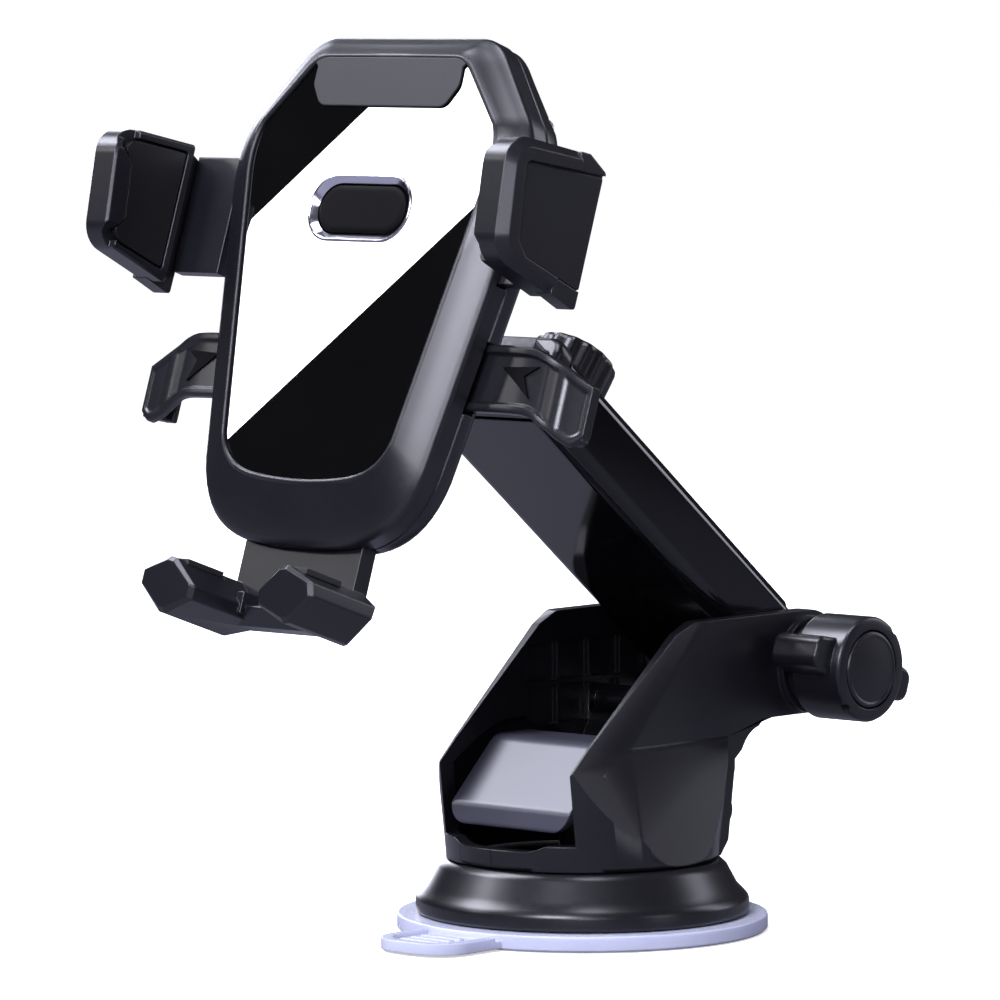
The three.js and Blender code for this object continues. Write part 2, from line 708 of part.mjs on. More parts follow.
function ballSocket(head) {
  const centre = [0, HEAD_FRONT, -HEAD_Z0];
  const arc = (radius, from, to, steps) =>
    Array.from({ length: steps + 1 }, (_, i) => {
      const angle = rad(from + ((to - from) * i) / steps);
      return [radius * Math.sin(angle), -radius * Math.cos(angle)];
    });
  const shell = [...arc(BALL_R + GAP, 30, 112, 5), ...arc(BALL_R + 1.4, 112, 30, 5)];
  piece(head, "ball_liner", turned("y", shell, centre, 24), greyPlastic);
  const lip = 3.6;
  const nut = turned("y", [
    [12.8, -10.5],
    [16.2, -10.5],
    [16.2, 4.4],
    [13.6, 6],
    [8.9, 6],
    [10.2, lip],
    [12.8, lip - 0.6],
  ], centre, 40);
  piece(head, "ball_nut", nut, blackPlastic);
}

// ---- Clamp -----------------------------------------------------------------------------------
function gearOutline(teeth, pitchRadius) {
  const outline = new THREE.Shape();
  const step = (2 * Math.PI) / teeth;
  const corners = [
    [pitchRadius - 1.15, -0.2],
    [pitchRadius + 0.75, -0.07],
    [pitchRadius + 0.75, 0.07],
    [pitchRadius - 1.15, 0.2],
  ];
  for (let i = 0; i < teeth; i++) {
    corners.forEach(([r, share], k) => {
      const angle = (i + share + 0.5) * step;
      const method = i || k ? "lineTo" : "moveTo";
      outline[method](r * Math.cos(angle), r * Math.sin(angle));
    });
  }
  outline.closePath();
  return outline;
}

// The left clamp arm; the right one is the same piece turned half round the pinion's axis.
function clampArm() {
  const toothPitch = (2 * Math.PI * PITCH_R) / TEETH;
  const z0 = CLAMP_Z - CLAMP_H / 2;
  const z1 = CLAMP_Z + CLAMP_H / 2;
  const rootLine = CLAMP_Z + PITCH_R + 1.15;
  const tipLine = CLAMP_Z + PITCH_R - 0.7;
  const outline = [
    [-JAW_IN - 3.2, z0],
    [-41.6, z0],
    [-41.6, rootLine],
  ];
  for (let i = -6; i <= 3; i++) {
    const x = i * toothPitch + toothPitch / 2;
    outline.push([x - 0.68, rootLine], [x - 0.25, tipLine]);
    outline.push([x + 0.25, tipLine], [x + 0.68, rootLine]);
  }
  outline.push([14, rootLine], [14, z1], [-JAW_IN - 3.2, z1]);
  return alongY(polygon(outline), CLAMP_Y);
}

// A jaw's side view in (y, z).
function jawSide(inset) {
  return rounded([
    [-18.8 + inset, 2.2 + inset, 6],
    [-22 + inset, 26.7 - inset, 6],
    [1.6 - inset, 29.6 - inset, 1],
    [1.6 - inset, -0.8 + inset, 1],
  ]);
}

function jaw() {
  const outer = JAW_IN + JAW_T;
  const body = alongX(jawSide(0), [JAW_IN, outer], 4);
  const root = alongX(
    rounded([
      [0, -0.8, 0],
      [3, -2.8, 1],
      [7.4, -2.8, 1],
      [7.4, 27.2, 1],
      [1.6, 29.5, 0],
      [0, 29.3, 0],
    ]),
    [JAW_IN + 3.5, outer],
    3,
  );
  const padRoom = box([JAW_IN - 1, JAW_IN + 1.4], [-17, -0.4], [3.6, 25.4]);
  const inlayRoom = box([outer - 1.2, outer + 1], [-14.6, 5.6], [4.2, 24.6]);
  const armRoom = box([JAW_IN - 2, JAW_IN + 3.5], [5, 10], [-10, 40]);
  return cut(join(body, root), padRoom, inlayRoom, armRoom);
}

function clamps(head) {
  const left = clampArm();
  const right = left.translate([0, 0, -CLAMP_Z]).rotate([0, 180, 0]).translate([0, 0, CLAMP_Z]);
  piece(head, "clamp_arm_left", left, blackPlastic);
  piece(head, "clamp_arm_right", right, blackPlastic);

  const outer = JAW_IN + JAW_T;
  const pad = box([JAW_IN + 0.2, JAW_IN + 1.1], [-16.7, -0.7], [3.9, 25.1]);
  const inlay = box([outer - 0.9, outer - 0.2], [-14.3, 5.3], [4.5, 24.3]);
  for (const [kind, body, material] of [
    ["jaw", jaw(), blackPlastic],
    ["jaw_pad", pad, rubber],
    ["jaw_inlay", inlay, blackPlastic],
  ]) {
    piece(head, `${kind}_right`, body, material);
    piece(head, `${kind}_left`, body.mirror([1, 0, 0]), material);
  }

  const pinion = alongY(gearOutline(TEETH, PITCH_R), CLAMP_Y).translate([0, 0, CLAMP_Z]);
  piece(head, "pinion", cut(pinion, rod("y", 1.9, [0, 20], [0, 0, CLAMP_Z], 12)), greyPlastic);
}

// ---- Springs ---------------------------------------------------------------------------------
function springs(head) {
  const spiral = new THREE.Shape();
  const steps = 40;
  const turnsRound = 2.5;
  const at = (i, offset) => {
    const angle = (2 * Math.PI * turnsRound * i) / steps;
    const r = 2.3 + (4 * i) / steps + offset;
    return [r * Math.cos(angle), CLAMP_Z + r * Math.sin(angle)];
  };
  spiral.moveTo(...at(0, 0));
  for (let i = 1; i <= steps; i++) spiral.lineTo(...at(i, 0));
  for (let i = steps; i >= 0; i--) spiral.lineTo(...at(i, 0.4));
  spiral.closePath();
  piece(head, "clamp_spring", alongY(spiral, [9.5, 11.6]), steel);

  const leaf = new THREE.Shape();
  leaf.moveTo(-11, 4.9);
  leaf.quadraticCurveTo(0, 2.9, 11, 4.9);
  leaf.lineTo(11, 5.25);
  leaf.quadraticCurveTo(0, 3.35, -11, 5.25);
  leaf.closePath();
  piece(head, "trigger_spring", alongZ(leaf, [CLAMP_Z - 0.6, CLAMP_Z + 2.6], 6), steel);

  for (const [name, side] of [["wing_spring_left", -1], ["wing_spring_right", 1]]) {
    const ends = side > 0 ? [14.4, 25.1] : [-25.1, -14.4];
    piece(head, name, coil(ends, 11, WING_Z, 2.3, 0.35, 6), steel);
  }
}

// ---- Trigger, wings and pawl -----------------------------------------------------------------
function trigger(head) {
  piece(head, "trigger_button", alongY(pill(12.3, 5.5), [1.2, 3.5], 5), blackPlastic);
}

// A wing: a plate out of the head's side that sweeps outwards and back to a hooked finger end.
function wing() {
  const plan = rounded([
    [26, 9.9, 0],
    [47, 9.9, 6],
    [62.4, 13.6, 1],
    [58.8, 18.8, 1],
    [56, 19, 0.6],
    [55.8, 17.4, 0.5],
    [57.6, 16.6, 0.6],
    [58.2, 15.2, 0.6],
    [46.4, 12.4, 5],
    [26, 12.4, 0],
  ]);
  const plate = alongZ(plan, [WING_Z - 13, WING_Z + 8], 4);
  const front = alongY(
    rounded([
      [20, WING_Z + 7.3, 0],
      [48, WING_Z + 7.3, 4],
      [62, WING_Z + 0.5, 1],
      [66, WING_Z - 1.6, 0],
      [60.6, WING_Z - 12, 1],
      [57.5, WING_Z - 12, 1],
      [50, WING_Z - 6.8, 4],
      [20, WING_Z - 6.8, 0],
    ]),
    [0, 40],
    3,
  );
  return common(plate, front);
}

function wings(head) {
  const right = wing();
  piece(head, "wing_right", right, blackPlastic);
  piece(head, "wing_left", right.mirror([1, 0, 0]), blackPlastic);
  const pawl = alongY(
    rounded([
      [-22, -7.5, 1],
      [-16, -7.5, 1],
      [-15, 0, 1],
      [-6, 6, 1],
      [-8, 8, 1],
      [-19, 2, 2],
    ]),
    [9.7, 11.7],
    3,
  );
  const pivot = rod("y", 1.6, [0, 20], [-18, 0, -1], 12);
  piece(head, "release_pawl", cut(pawl, pivot), greyPlastic);
  piece(head, "pawl_pin", rod("y", 1.3, [9.7, 13.4], [-18, 0, -1], 12), steel);
}

// ---- Foot ------------------------------------------------------------------------------------
const PRONG_X = 16.6;
const PRONG_Z = -68.3;
const PRONG_LEAN = 10;

// A prong's six-sided section in (x, z), leaning outwards.
function prongSection(grow) {
  const half = 7.6 + grow;
  const high = 5.8 + grow;
  const corners = [
    [-half, -1.4],
    [-0.8, -high],
    [0.8, -high],
    [half, -1.4],
    [half, 1.4],
    [0.8, high],
    [-0.8, high],
    [-half, 1.4],
  ];
  const lean = THREE.MathUtils.degToRad(PRONG_LEAN);
  return polygon(
    corners.map(([x, z]) => [
      PRONG_X + x * Math.cos(lean) - z * Math.sin(lean),
      PRONG_Z + x * Math.sin(lean) + z * Math.cos(lean),
    ]),
  );
}

function foot(head) {
  const blade = box([-16.4, 16.4], [6.7, 10.9], [-70, -32]);
  const bar = alongX(
    polygon([
      [2.2, -68.2],
      [3.4, -70.2],
      [5, -72.1],
      [10.4, -72.1],
      [10.4, -66],
      [7, -67.4],
    ]),
    [-12, 12],
  );
  const front = beyond([0, -0.984, 0.176], 1.6);
  const rear = beyond([0.35, 0.91, -0.22], 28.5);
  const padRoom = box([PRONG_X - 3.2, PRONG_X + 3.2], [-11, 0.5], [-63.6, -50]);
  const prong = cut(alongY(prongSection(0), [-16, 14]), front, rear, padRoom);
  piece(head, "foot_slide", join(blade, bar, prong, prong.mirror([1, 0, 0])), blackPlastic);
  for (const [name, side] of [["foot_pad_left", -1], ["foot_pad_right", 1]]) {
    const middle = side * PRONG_X;
    const pad = box([middle - 2.4, middle + 2.4], [-10.6, 0.1], [-63.4, -62.2]);
    piece(head, name, pad, rubber);
  }
}

// ---- Assembly --------------------------------------------------------------------------------
suctionFoot(root);
housing(root);
suctionLever(root);
hinge(root);
arm(root);

const alongArm = new THREE.Vector3(0, ARM_OFFSET, BALL_AT).applyAxisAngle(
  new THREE.Vector3(1, 0, 0),
  rad(90 - ARM_PITCH),
);
const ballCentre = new THREE.Vector3(0, HINGE_Y, HINGE_Z).add(alongArm);
const head = new THREE.Group();
head.rotation.x = rad(-HEAD_TILT);
head.position.copy(ballCentre);
const headOrigin = new THREE.Group();
headOrigin.position.set(0, -HEAD_FRONT, HEAD_Z0);
head.add(headOrigin);
root.add(head);
headShell(headOrigin);
rearCover(headOrigin);
ballSocket(headOrigin);
clamps(headOrigin);
springs(headOrigin);
trigger(headOrigin);
wings(headOrigin);
foot(headOrigin);

export default root;
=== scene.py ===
# The looks of the car phone mount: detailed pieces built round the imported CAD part.
# Lengths are in millimetres until placed() turns them into the row frame's metres.
import json
import math

import bmesh
import bpy
from mathutils import Matrix, Vector


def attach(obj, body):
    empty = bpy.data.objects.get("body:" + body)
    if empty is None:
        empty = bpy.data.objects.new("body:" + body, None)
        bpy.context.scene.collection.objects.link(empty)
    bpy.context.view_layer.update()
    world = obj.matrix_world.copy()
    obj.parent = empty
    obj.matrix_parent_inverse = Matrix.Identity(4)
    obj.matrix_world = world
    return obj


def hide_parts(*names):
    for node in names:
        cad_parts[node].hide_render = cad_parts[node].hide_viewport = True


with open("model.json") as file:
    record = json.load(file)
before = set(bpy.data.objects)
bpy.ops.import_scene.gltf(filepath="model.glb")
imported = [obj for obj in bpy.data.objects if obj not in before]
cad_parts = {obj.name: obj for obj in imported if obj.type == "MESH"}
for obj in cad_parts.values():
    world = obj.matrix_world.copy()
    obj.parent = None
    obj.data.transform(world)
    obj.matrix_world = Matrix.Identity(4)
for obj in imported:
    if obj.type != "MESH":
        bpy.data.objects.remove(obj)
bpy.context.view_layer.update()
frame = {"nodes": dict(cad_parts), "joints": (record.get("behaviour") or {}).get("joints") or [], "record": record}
MM = 0.001

# ---- Frames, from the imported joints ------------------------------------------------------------
joints = {joint["name"]: joint for joint in frame["joints"]}


def axes_at(origin, x, y, z):
    """The matrix that takes a piece drawn in millimetres to the row frame."""
    turned_axes = Matrix((x, y, z)).transposed().to_4x4()
    return Matrix.Translation(origin) @ turned_axes @ Matrix.Scale(MM, 4)


RIGHT = Vector((1, 0, 0))
HINGE = Vector(joints["arm_pitch"]["pos_m"])
BALL = Vector(joints["head_tilt"]["pos_m"])
ALONG_ARM = Vector(joints["arm_extend"]["axis"]).normalized()
ARM_TOP = ALONG_ARM.cross(RIGHT)
DEPTH = Vector(joints["head_spin"]["axis"]).normalized()
HEAD_UP = RIGHT.cross(DEPTH)

BASE = Matrix.Scale(MM, 4)
ARM = axes_at(HINGE, RIGHT, ARM_TOP, ALONG_ARM)
KNOB_TURN = math.radians(-18)
KNOB = Matrix.Translation(HINGE) @ Matrix.Rotation(KNOB_TURN, 4, "X") @ Matrix.Scale(MM, 4)

# ---- Driving dimensions ------------------------------------------------------------------------
PAD_R = 40
PAD_T = 3.4
RIM_R = 36
RIM_TOP = 7.4
NECK_R = 29.4
NECK_Z = 15.5
HOUSING_HALF = 22.3
ARM_HALF = 18
ARM_LOW = -6.05
ARM_HIGH = 10.65
ARM_MIDDLE = 2.3
ARM_L = 99.6
LOCK_AT = 83
BALL_AT = 126.2
BALL_R = 8.5
BALL_BEHIND = 28.5
BALL_ABOVE = 2.3
FRAME_D = 9
HEAD_D = 16
JAW_IN = 51.3
JAW_OUT = 59.3
CLAMP_Z = 15.7
TRIGGER_Z = 16.7
WING_Z = -16
GAP = 0.3

HEAD_ORIGIN = BALL - (DEPTH * BALL_BEHIND + HEAD_UP * BALL_ABOVE) * MM
HEAD = axes_at(HEAD_ORIGIN, RIGHT, DEPTH, HEAD_UP)

HINGE_Y, HINGE_Z = HINGE.y / MM, HINGE.z / MM


# ---- Outlines ----------------------------------------------------------------------------------
def rounded(points, steps=5):
    """A closed polyline; each point is (a, b) or (a, b, radius of its rounded corner)."""
    path = []
    for i, point in enumerate(points):
        corner = Vector(point[:2])
        if len(point) < 3 or not point[2]:
            path.append(corner)
            continue
        before = (Vector(points[i - 1][:2]) - corner).normalized()
        after = (Vector(points[(i + 1) % len(points)][:2]) - corner).normalized()
        half = before.angle(after) / 2
        reach = point[2] / math.tan(half)
        middle = corner + (before + after).normalized() * (point[2] / math.sin(half))
        start = corner + before * reach - middle
        end = corner + after * reach - middle
        for k in range(steps + 1):
            path.append(middle + start.slerp(end, k / steps).normalized() * point[2])
    return [tuple(p) for p in path]


def rectangle(half_a, b0, b1, radius, steps=5):
    return rounded(
        [
            (-half_a, b0, radius), (half_a, b0, radius), (half_a, b1, radius),
            (-half_a, b1, radius),
        ],
        steps,
    )


def pill(half_length, half_height, steps=10):
    low, high = TRIGGER_Z - half_height, TRIGGER_Z + half_height
    return rectangle(half_length, low, high, half_height * 0.96, steps)


def mirrored(half, steps=10):
    """A closed outline from its right half, bottom centre to top centre, given as stretches:
    (x, z) ends a straight one and (x, z, cx, cz) a curve pulled towards (cx, cz)."""
    right = [Vector(half[0])]
    for stretch in half[1:]:
        start, end = right[-1], Vector(stretch[:2])
        pull = Vector(stretch[2:]) if len(stretch) > 2 else (start + end) / 2
        for k in range(1, steps + 1):
            t = k / steps
            right.append(start * (1 - t) ** 2 + pull * 2 * t * (1 - t) + end * t * t)
    left = [Vector((-p.x, p.y)) for p in reversed(right[1:-1])]
    return [tuple(p) for p in right + left]


def face_outline(inset=0.0):
    """The opening in the head's face."""
    return mirrored(
        [
            (0, -41.4 + inset),
            (12, -40.6 + inset, 6, -41.4 + inset),
            (23.4 - inset, -32, 21.5 - inset, -39.4 + inset),
            (33 - inset, 24), (31.8 - inset, 35, 34 - inset, 30.5),
            (22 - inset, 46.8 - inset),
            (17.5 - inset, 48.9 - inset, 20 - inset, 48.9 - inset),
            (0, 48.9 - inset),
        ]
    )


def rim_outline(grow=0.0):
    """The head's outer edge."""
    return mirrored(
        [
            (0, -54.9 - grow), (13, -54.2 - grow, 7, -54.9 - grow),
            (31 + grow, -37.5, 27.5 + grow, -52.4 - grow),
            (40.6 + grow, 20), (38.4 + grow, 37, 42.3 + grow, 30),
            (28.2 + grow, 50.5 + grow),
            (20.5 + grow, 54.7 + grow, 24.6 + grow, 54.7 + grow),
            (0, 54.7 + grow),
        ]
    )


# ---- Meshes ------------------------------------------------------------------------------------
def spot(axis, a, b, s):
    """The point at (a, b) in the plane across an axis, at s along it."""
    return {"x": (s, a, b), "y": (a, s, b), "z": (a, b, s)}[axis]


def made(mesh_builder, name="piece"):
    """An object from a bmesh, its faces turned outwards."""
    bmesh.ops.recalc_face_normals(mesh_builder, faces=mesh_builder.faces)
    mesh = bpy.data.meshes.new(name)
    mesh_builder.to_mesh(mesh)
    mesh_builder.free()
    piece = bpy.data.objects.new(name, mesh)
    bpy.context.scene.collection.objects.link(piece)
    return piece


def skinned(rings, closed_tube=False):
    """A skin through rings of points; a closed tube joins the last ring to the first."""
    build = bmesh.new()
    rows = [[build.verts.new(p) for p in ring] for ring in rings]
    pairs = list(zip(rows, rows[1:]))
    if closed_tube:
        pairs.append((rows[-1], rows[0]))
    else:
        build.faces.new(rows[0])
        build.faces.new(rows[-1])
    count = len(rows[0])
    for low, high in pairs:
        for i in range(count):
            k = (i + 1) % count
            build.faces.new((low[i], low[k], high[k], high[i]))
    return made(build)


def prism(axis, outline, span):
    return skinned([[spot(axis, a, b, s) for a, b in outline] for s in span])


def block(x, y, z):
    return prism("z", [(x[0], y[0]), (x[1], y[0]), (x[1], y[1]), (x[0], y[1])], z)


def layered(axis, layers):
    """A skin through outlines at several depths: [(depth, outline), ...]."""
    return skinned([[spot(axis, a, b, s) for a, b in outline] for s, outline in layers])


def turned(axis, profile, centre=(0, 0, 0), steps=96):
    """A closed profile of (radius, height) turned round an axis through centre."""
    build = bmesh.new()
    rows = []
    for i in range(steps):
        angle = 2 * math.pi * i / steps
        ring = []
        for r, h in profile:
            point = Vector(spot(axis, r * math.cos(angle), r * math.sin(angle), h))
            ring.append(build.verts.new(point + Vector(centre)))
        rows.append(ring)
    count = len(profile)
    for i in range(steps):
        for k in range(count):
            m = (k + 1) % count
            near, far = rows[i], rows[(i + 1) % steps]
            build.faces.new((near[k], near[m], far[m], far[k]))
    bmesh.ops.remove_doubles(build, verts=build.verts, dist=1e-4)
    bmesh.ops.dissolve_degenerate(build, edges=build.edges, dist=1e-4)
    loose = [edge for edge in build.edges if not edge.link_faces]
    bmesh.ops.delete(build, geom=loose, context="EDGES")
    return made(build)


def rod(axis, radius, span, centre=(0, 0), steps=64):
    outline = [
        (
            centre[0] + radius * math.cos(2 * math.pi * i / steps),
            centre[1] + radius * math.sin(2 * math.pi * i / steps),
        )
        for i in range(steps)
    ]
    return prism(axis, outline, span)


def applied(piece):
    """piece with its modifiers made part of its mesh."""
    graph = bpy.context.evaluated_depsgraph_get()
    mesh = bpy.data.meshes.new_from_object(piece.evaluated_get(graph))
    piece.modifiers.clear()
    piece.data = mesh
    return piece


def combined(piece, operation, tools):
    for tool in tools:
        step = piece.modifiers.new("combine", "BOOLEAN")
        step.operation = operation
        step.object = tool
        step.solver = "MANIFOLD"
        applied(piece)
        bpy.data.objects.remove(tool)
    return piece


def cut(piece, *tools):
    return combined(piece, "DIFFERENCE", tools)


def join(piece, *tools):
    return combined(piece, "UNION", tools)


def common(piece, *tools):
    return combined(piece, "INTERSECT", tools)


def copied(piece, matrix=None):
    twin = piece.copy()
    twin.data = piece.data.copy()
    bpy.context.scene.collection.objects.link(twin)
    if matrix is not None:
        twin.data.transform(matrix)
        if matrix.is_negative:
            twin.data.flip_normals()
    return twin


MIRROR = Matrix.Scale(-1, 4, (1, 0, 0))


def softened(piece, width, segments=3, angle=30):
    """Rounded edges, in millimetres, wherever two faces meet at more than the angle."""
    edges = piece.modifiers.new("edges", "BEVEL")
    edges.width = width
    edges.segments = segments
    edges.limit_method = "ANGLE"
    edges.angle_limit = math.radians(angle)
    edges.miter_outer = "MITER_ARC"
    return applied(piece)


def placed(name, piece, where, body, material, nodes=()):
    """Names a piece, takes it to the row frame, and gives it its body and material."""
    piece.name = name
    piece.data.name = name
    piece.data.transform(where)
    for face in piece.data.polygons:
        face.use_smooth = True
    piece.data.set_sharp_from_angle(angle=math.radians(32))
    piece.data.materials.clear()
    piece.data.materials.append(material)
    piece.modifiers.new("even shading", "WEIGHTED_NORMAL").keep_sharp = True
    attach(piece, body)
    if nodes:
        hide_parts(*nodes)
    return piece


# ---- Materials ---------------------------------------------------------------------------------
class Tree:
    """A material's node tree, with short ways to add and join its nodes."""

    def __init__(self, name):
        self.material = bpy.data.materials.new(name)
        self.material.use_nodes = True
        self.nodes = self.material.node_tree.nodes
        self.links = self.material.node_tree.links
        self.shader = self.nodes["Principled BSDF"]

    def add(self, kind, **settings):
        node = self.nodes.new(kind)
        for key, value in settings.items():
            setattr(node, key, value)
        return node

    def join(self, source, target):
        self.links.new(source, target)

    def noise(self, scale, detail=3.0, roughness=0.5):
        node = self.add("ShaderNodeTexNoise")
        node.inputs["Scale"].default_value = scale
        node.inputs["Detail"].default_value = detail
        node.inputs["Roughness"].default_value = roughness
        self.join(self.place.outputs["Object"], node.inputs["Vector"])
        return node.outputs["Fac"]

    @property
    def place(self):
        found = self.nodes.get("place")
        if found is None:
            found = self.add("ShaderNodeTexCoord")
            found.name = "place"
        return found

    def span(self, value, low, high, start=0.3, end=0.7):
        """value stretched from start..end to low..high."""
        node = self.add("ShaderNodeMapRange")
        node.inputs["From Min"].default_value = start
        node.inputs["From Max"].default_value = end
        node.inputs["To Min"].default_value = low
        node.inputs["To Max"].default_value = high
        self.join(value, node.inputs["Value"])
        return node.outputs["Result"]

    def blend(self, share, first, second):
        node = self.add("ShaderNodeMix", data_type="RGBA")
        node.inputs[6].default_value = (*first, 1)
        node.inputs[7].default_value = (*second, 1)
        self.join(share, node.inputs[0])
        return node.outputs[2]

    def edges(self, radius):
        """A normal rounded over sharp edges, and a share that is high along those edges."""
        bevel = self.add("ShaderNodeBevel", samples=4)
        bevel.inputs["Radius"].default_value = radius
        flat = self.add("ShaderNodeNewGeometry")
        dot = self.add("ShaderNodeVectorMath", operation="DOT_PRODUCT")
        self.join(bevel.outputs["Normal"], dot.inputs[0])
        self.join(flat.outputs["Normal"], dot.inputs[1])
        return bevel.outputs["Normal"], self.span(dot.outputs["Value"], 1.0, 0.0, 0.6, 0.95)

    def bump(self, height, strength, distance, normal):
        node = self.add("ShaderNodeBump")
        node.inputs["Strength"].default_value = strength
        node.inputs["Distance"].default_value = distance
        self.join(height, node.inputs["Height"])
        self.join(normal, node.inputs["Normal"])
        return node.outputs["Normal"]


def moulded(
    name, dark, light, rough, spread, grain=0.05, edge=0.0005, edge_highlight=None, metallic=0.0, coat=0.0,
    coat_rough=0.12, shine=0.5,
):
    """Moulded or plated material: cloudy colour, uneven roughness, fine grain, and a painted highlight: a lighter
    colour along sharp edges.
    """
    tree = Tree(name)
    clouds = tree.noise(60, 5)
    streaks = tree.noise(1400, 3)
    colour = tree.blend(tree.span(clouds, 0, 1), dark, light)
    rounded_normal, edge_share = tree.edges(edge)
    # Painted highlight: a lighter colour along sharp edges, broken up by the streaks, stands in for the light that
    # rounded edges catch.
    if edge_highlight is not None:
        edge_highlight_mix = tree.add("ShaderNodeMix", data_type="RGBA")
        highlight_share = tree.add("ShaderNodeMath", operation="MULTIPLY")
        tree.join(edge_share, highlight_share.inputs[0])
        tree.join(tree.span(streaks, 0.15, 0.8), highlight_share.inputs[1])
        tree.join(highlight_share.outputs[0], edge_highlight_mix.inputs[0])
        tree.join(colour, edge_highlight_mix.inputs[6])
        edge_highlight_mix.inputs[7].default_value = (*edge_highlight, 1)
        colour = edge_highlight_mix.outputs[2]
    tree.join(colour, tree.shader.inputs["Base Color"])
    tree.join(tree.span(streaks, rough - spread, rough + spread), tree.shader.inputs["Roughness"])
    fine = tree.noise(5200, 2, 0.6)
    tree.join(tree.bump(fine, grain, 0.00002, rounded_normal), tree.shader.inputs["Normal"])
    tree.shader.inputs["Metallic"].default_value = metallic
    tree.shader.inputs["Coat Weight"].default_value = coat
    tree.shader.inputs["Coat Roughness"].default_value = coat_rough
    tree.shader.inputs["Specular IOR Level"].default_value = shine
    return tree.material


def soft_gel(name):
    """The milky see-through rubber of the suction pad."""
    tree = moulded(name, (0.50, 0.52, 0.66), (0.56, 0.58, 0.72), 0.24, 0.04, 0.05, 0.0004)
    shader = tree.node_tree.nodes["Principled BSDF"]
    shader.inputs["Subsurface Weight"].default_value = 0.35
    shader.inputs["Subsurface Scale"].default_value = 0.004
    shader.inputs["Subsurface Radius"].default_value = (0.6, 0.7, 1.0)
    return tree


# Where a finish lists a third colour, that colour is its painted edge highlight along sharp edges.
BUTTON_BLACK = moulded(
    "button_black", (0.0015, 0.0015, 0.002), (0.002, 0.002, 0.003), 0.5, 0.03, 0.05, 0.0003,
    shine=0.06,
)
BLACK = moulded(
    "black_satin", (0.005, 0.005, 0.007), (0.007, 0.007, 0.009), 0.30, 0.02, 0.05,
    0.0004, (0.014, 0.014, 0.018),
)
SHELL = moulded(
    "charcoal_satin", (0.006, 0.006, 0.008), (0.008, 0.008, 0.011), 0.30, 0.02, 0.05,
    0.0004, (0.026, 0.026, 0.032),
)
GLOSS = moulded(
    "black_gloss", (0.003, 0.003, 0.004), (0.004, 0.004, 0.005), 0.10, 0.01, 0.05,
    0.0004, (0.02, 0.02, 0.025),
)
TAB_GREY = moulded(
    "grey_satin", (0.007, 0.007, 0.010), (0.009, 0.009, 0.012), 0.45, 0.03, 0.10, 0.0003,
    (0.05, 0.05, 0.06),
)
DARK_GREY = moulded(
    "dark_grey_plastic", (0.035, 0.035, 0.042), (0.042, 0.042, 0.050), 0.4, 0.05, 0.15, 0.0003,
    (0.08, 0.08, 0.09),
)
MIRROR_BLACK = moulded(
    "mirror_black", (0.0005, 0.0005, 0.0008), (0.001, 0.001, 0.0012), 0.004, 0.002, 0.0, 0.0002,
    coat=1.0, coat_rough=0.0,
)
LEVER_SKIN = moulded(
    "lilac_grey_gloss", (0.045, 0.045, 0.062), (0.050, 0.050, 0.069), 0.32, 0.02, 0.04, 0.0005,
    (0.12, 0.12, 0.16),
)
RUBBER = moulded(
    "matt_rubber", (0.006, 0.006, 0.007), (0.009, 0.009, 0.010), 0.62, 0.08, 0.5, 0.0003,
    (0.02, 0.02, 0.02),
)
PAD_RUBBER = moulded(
    "smooth_rubber", (0.0025, 0.0025, 0.003), (0.004, 0.004, 0.0045), 0.42, 0.04, 0.2, 0.0003,
    (0.012, 0.012, 0.012),
)
SILVER = moulded(
    "bright_plating", (0.62, 0.61, 0.70), (0.72, 0.71, 0.80), 0.16, 0.02, 0.02, 0.0002,
    (0.9, 0.9, 0.95), metallic=1.0,
)
STEEL = moulded(
    "plated_steel", (0.40, 0.40, 0.43), (0.50, 0.50, 0.53), 0.32, 0.06, 0.2, 0.0002,
    (0.7, 0.7, 0.74), metallic=1.0,
)
GEL = soft_gel("milky_gel")


# ---- Suction foot ------------------------------------------------------------------------------
def suction_pad():
    """The soft disc and its ribbed pull tab."""
    disc = turned(
        "z",
        [
            (15, 1.2), (15, PAD_T), (PAD_R - 0.5, PAD_T), (PAD_R - 0.12, PAD_T - 0.12),
            (PAD_R, PAD_T - 0.5), (PAD_R, 0.45), (PAD_R - 0.4, 0.05), (0, 0.0),
            (0, 1.2),
        ],
        steps=128,
    )
    end = -PAD_R - 17
    tab = prism(
        "z",
        rounded([(-11, end + 22, 0), (-11, end, 8), (11, end, 8), (11, end + 22, 0)], 10),
        (0.4, 2.0),
    )
    edge = prism(
        "z",
        rounded([(-11, end + 17, 1), (-11, end, 8), (11, end, 8), (11, end + 17, 1)], 10),
        (0.4, 2.8),
    )
    hollow = prism(
        "z",
        rounded([(-8.6, end + 30, 0), (-8.6, end + 2.4, 6), (8.6, end + 2.4, 6), (8.6, end + 30, 0)]),
        (1.9, 4),
    )
    ribs = [block((-5.5, 5.5), (end + y, end + y + 1.4), (1.5, 2.6)) for y in (5, 8.2, 11.4)]
    piece = join(disc, join(tab, cut(edge, hollow), *ribs))
    placed("pad_skin", softened(piece, 0.25), BASE, "base", GEL, ["suction_pad"])


def base_ring():
    skirt = turned(
        "z",
        [
            (32.5, PAD_T + GAP), (RIM_R - 0.4, PAD_T + GAP), (RIM_R, PAD_T + GAP + 0.5),
            (RIM_R, RIM_TOP - 1.0), (RIM_R - 0.25, RIM_TOP - 0.2),
            (RIM_R - 0.95, RIM_TOP + 0.6), (RIM_R - 2.6, RIM_TOP + 2.3),
            (NECK_R + 1.8, NECK_Z - 1.7), (NECK_R + 0.5, NECK_Z - 0.55),
            (NECK_R - 0.4, NECK_Z - GAP), (20, NECK_Z - GAP), (20, NECK_Z - 2.8),
            (26, NECK_Z - 2.8), (32.5, RIM_TOP - 1),
        ],
        steps=128,
    )
    placed("ring_skirt", skirt, BASE, "base", BLACK, ["base_ring"])


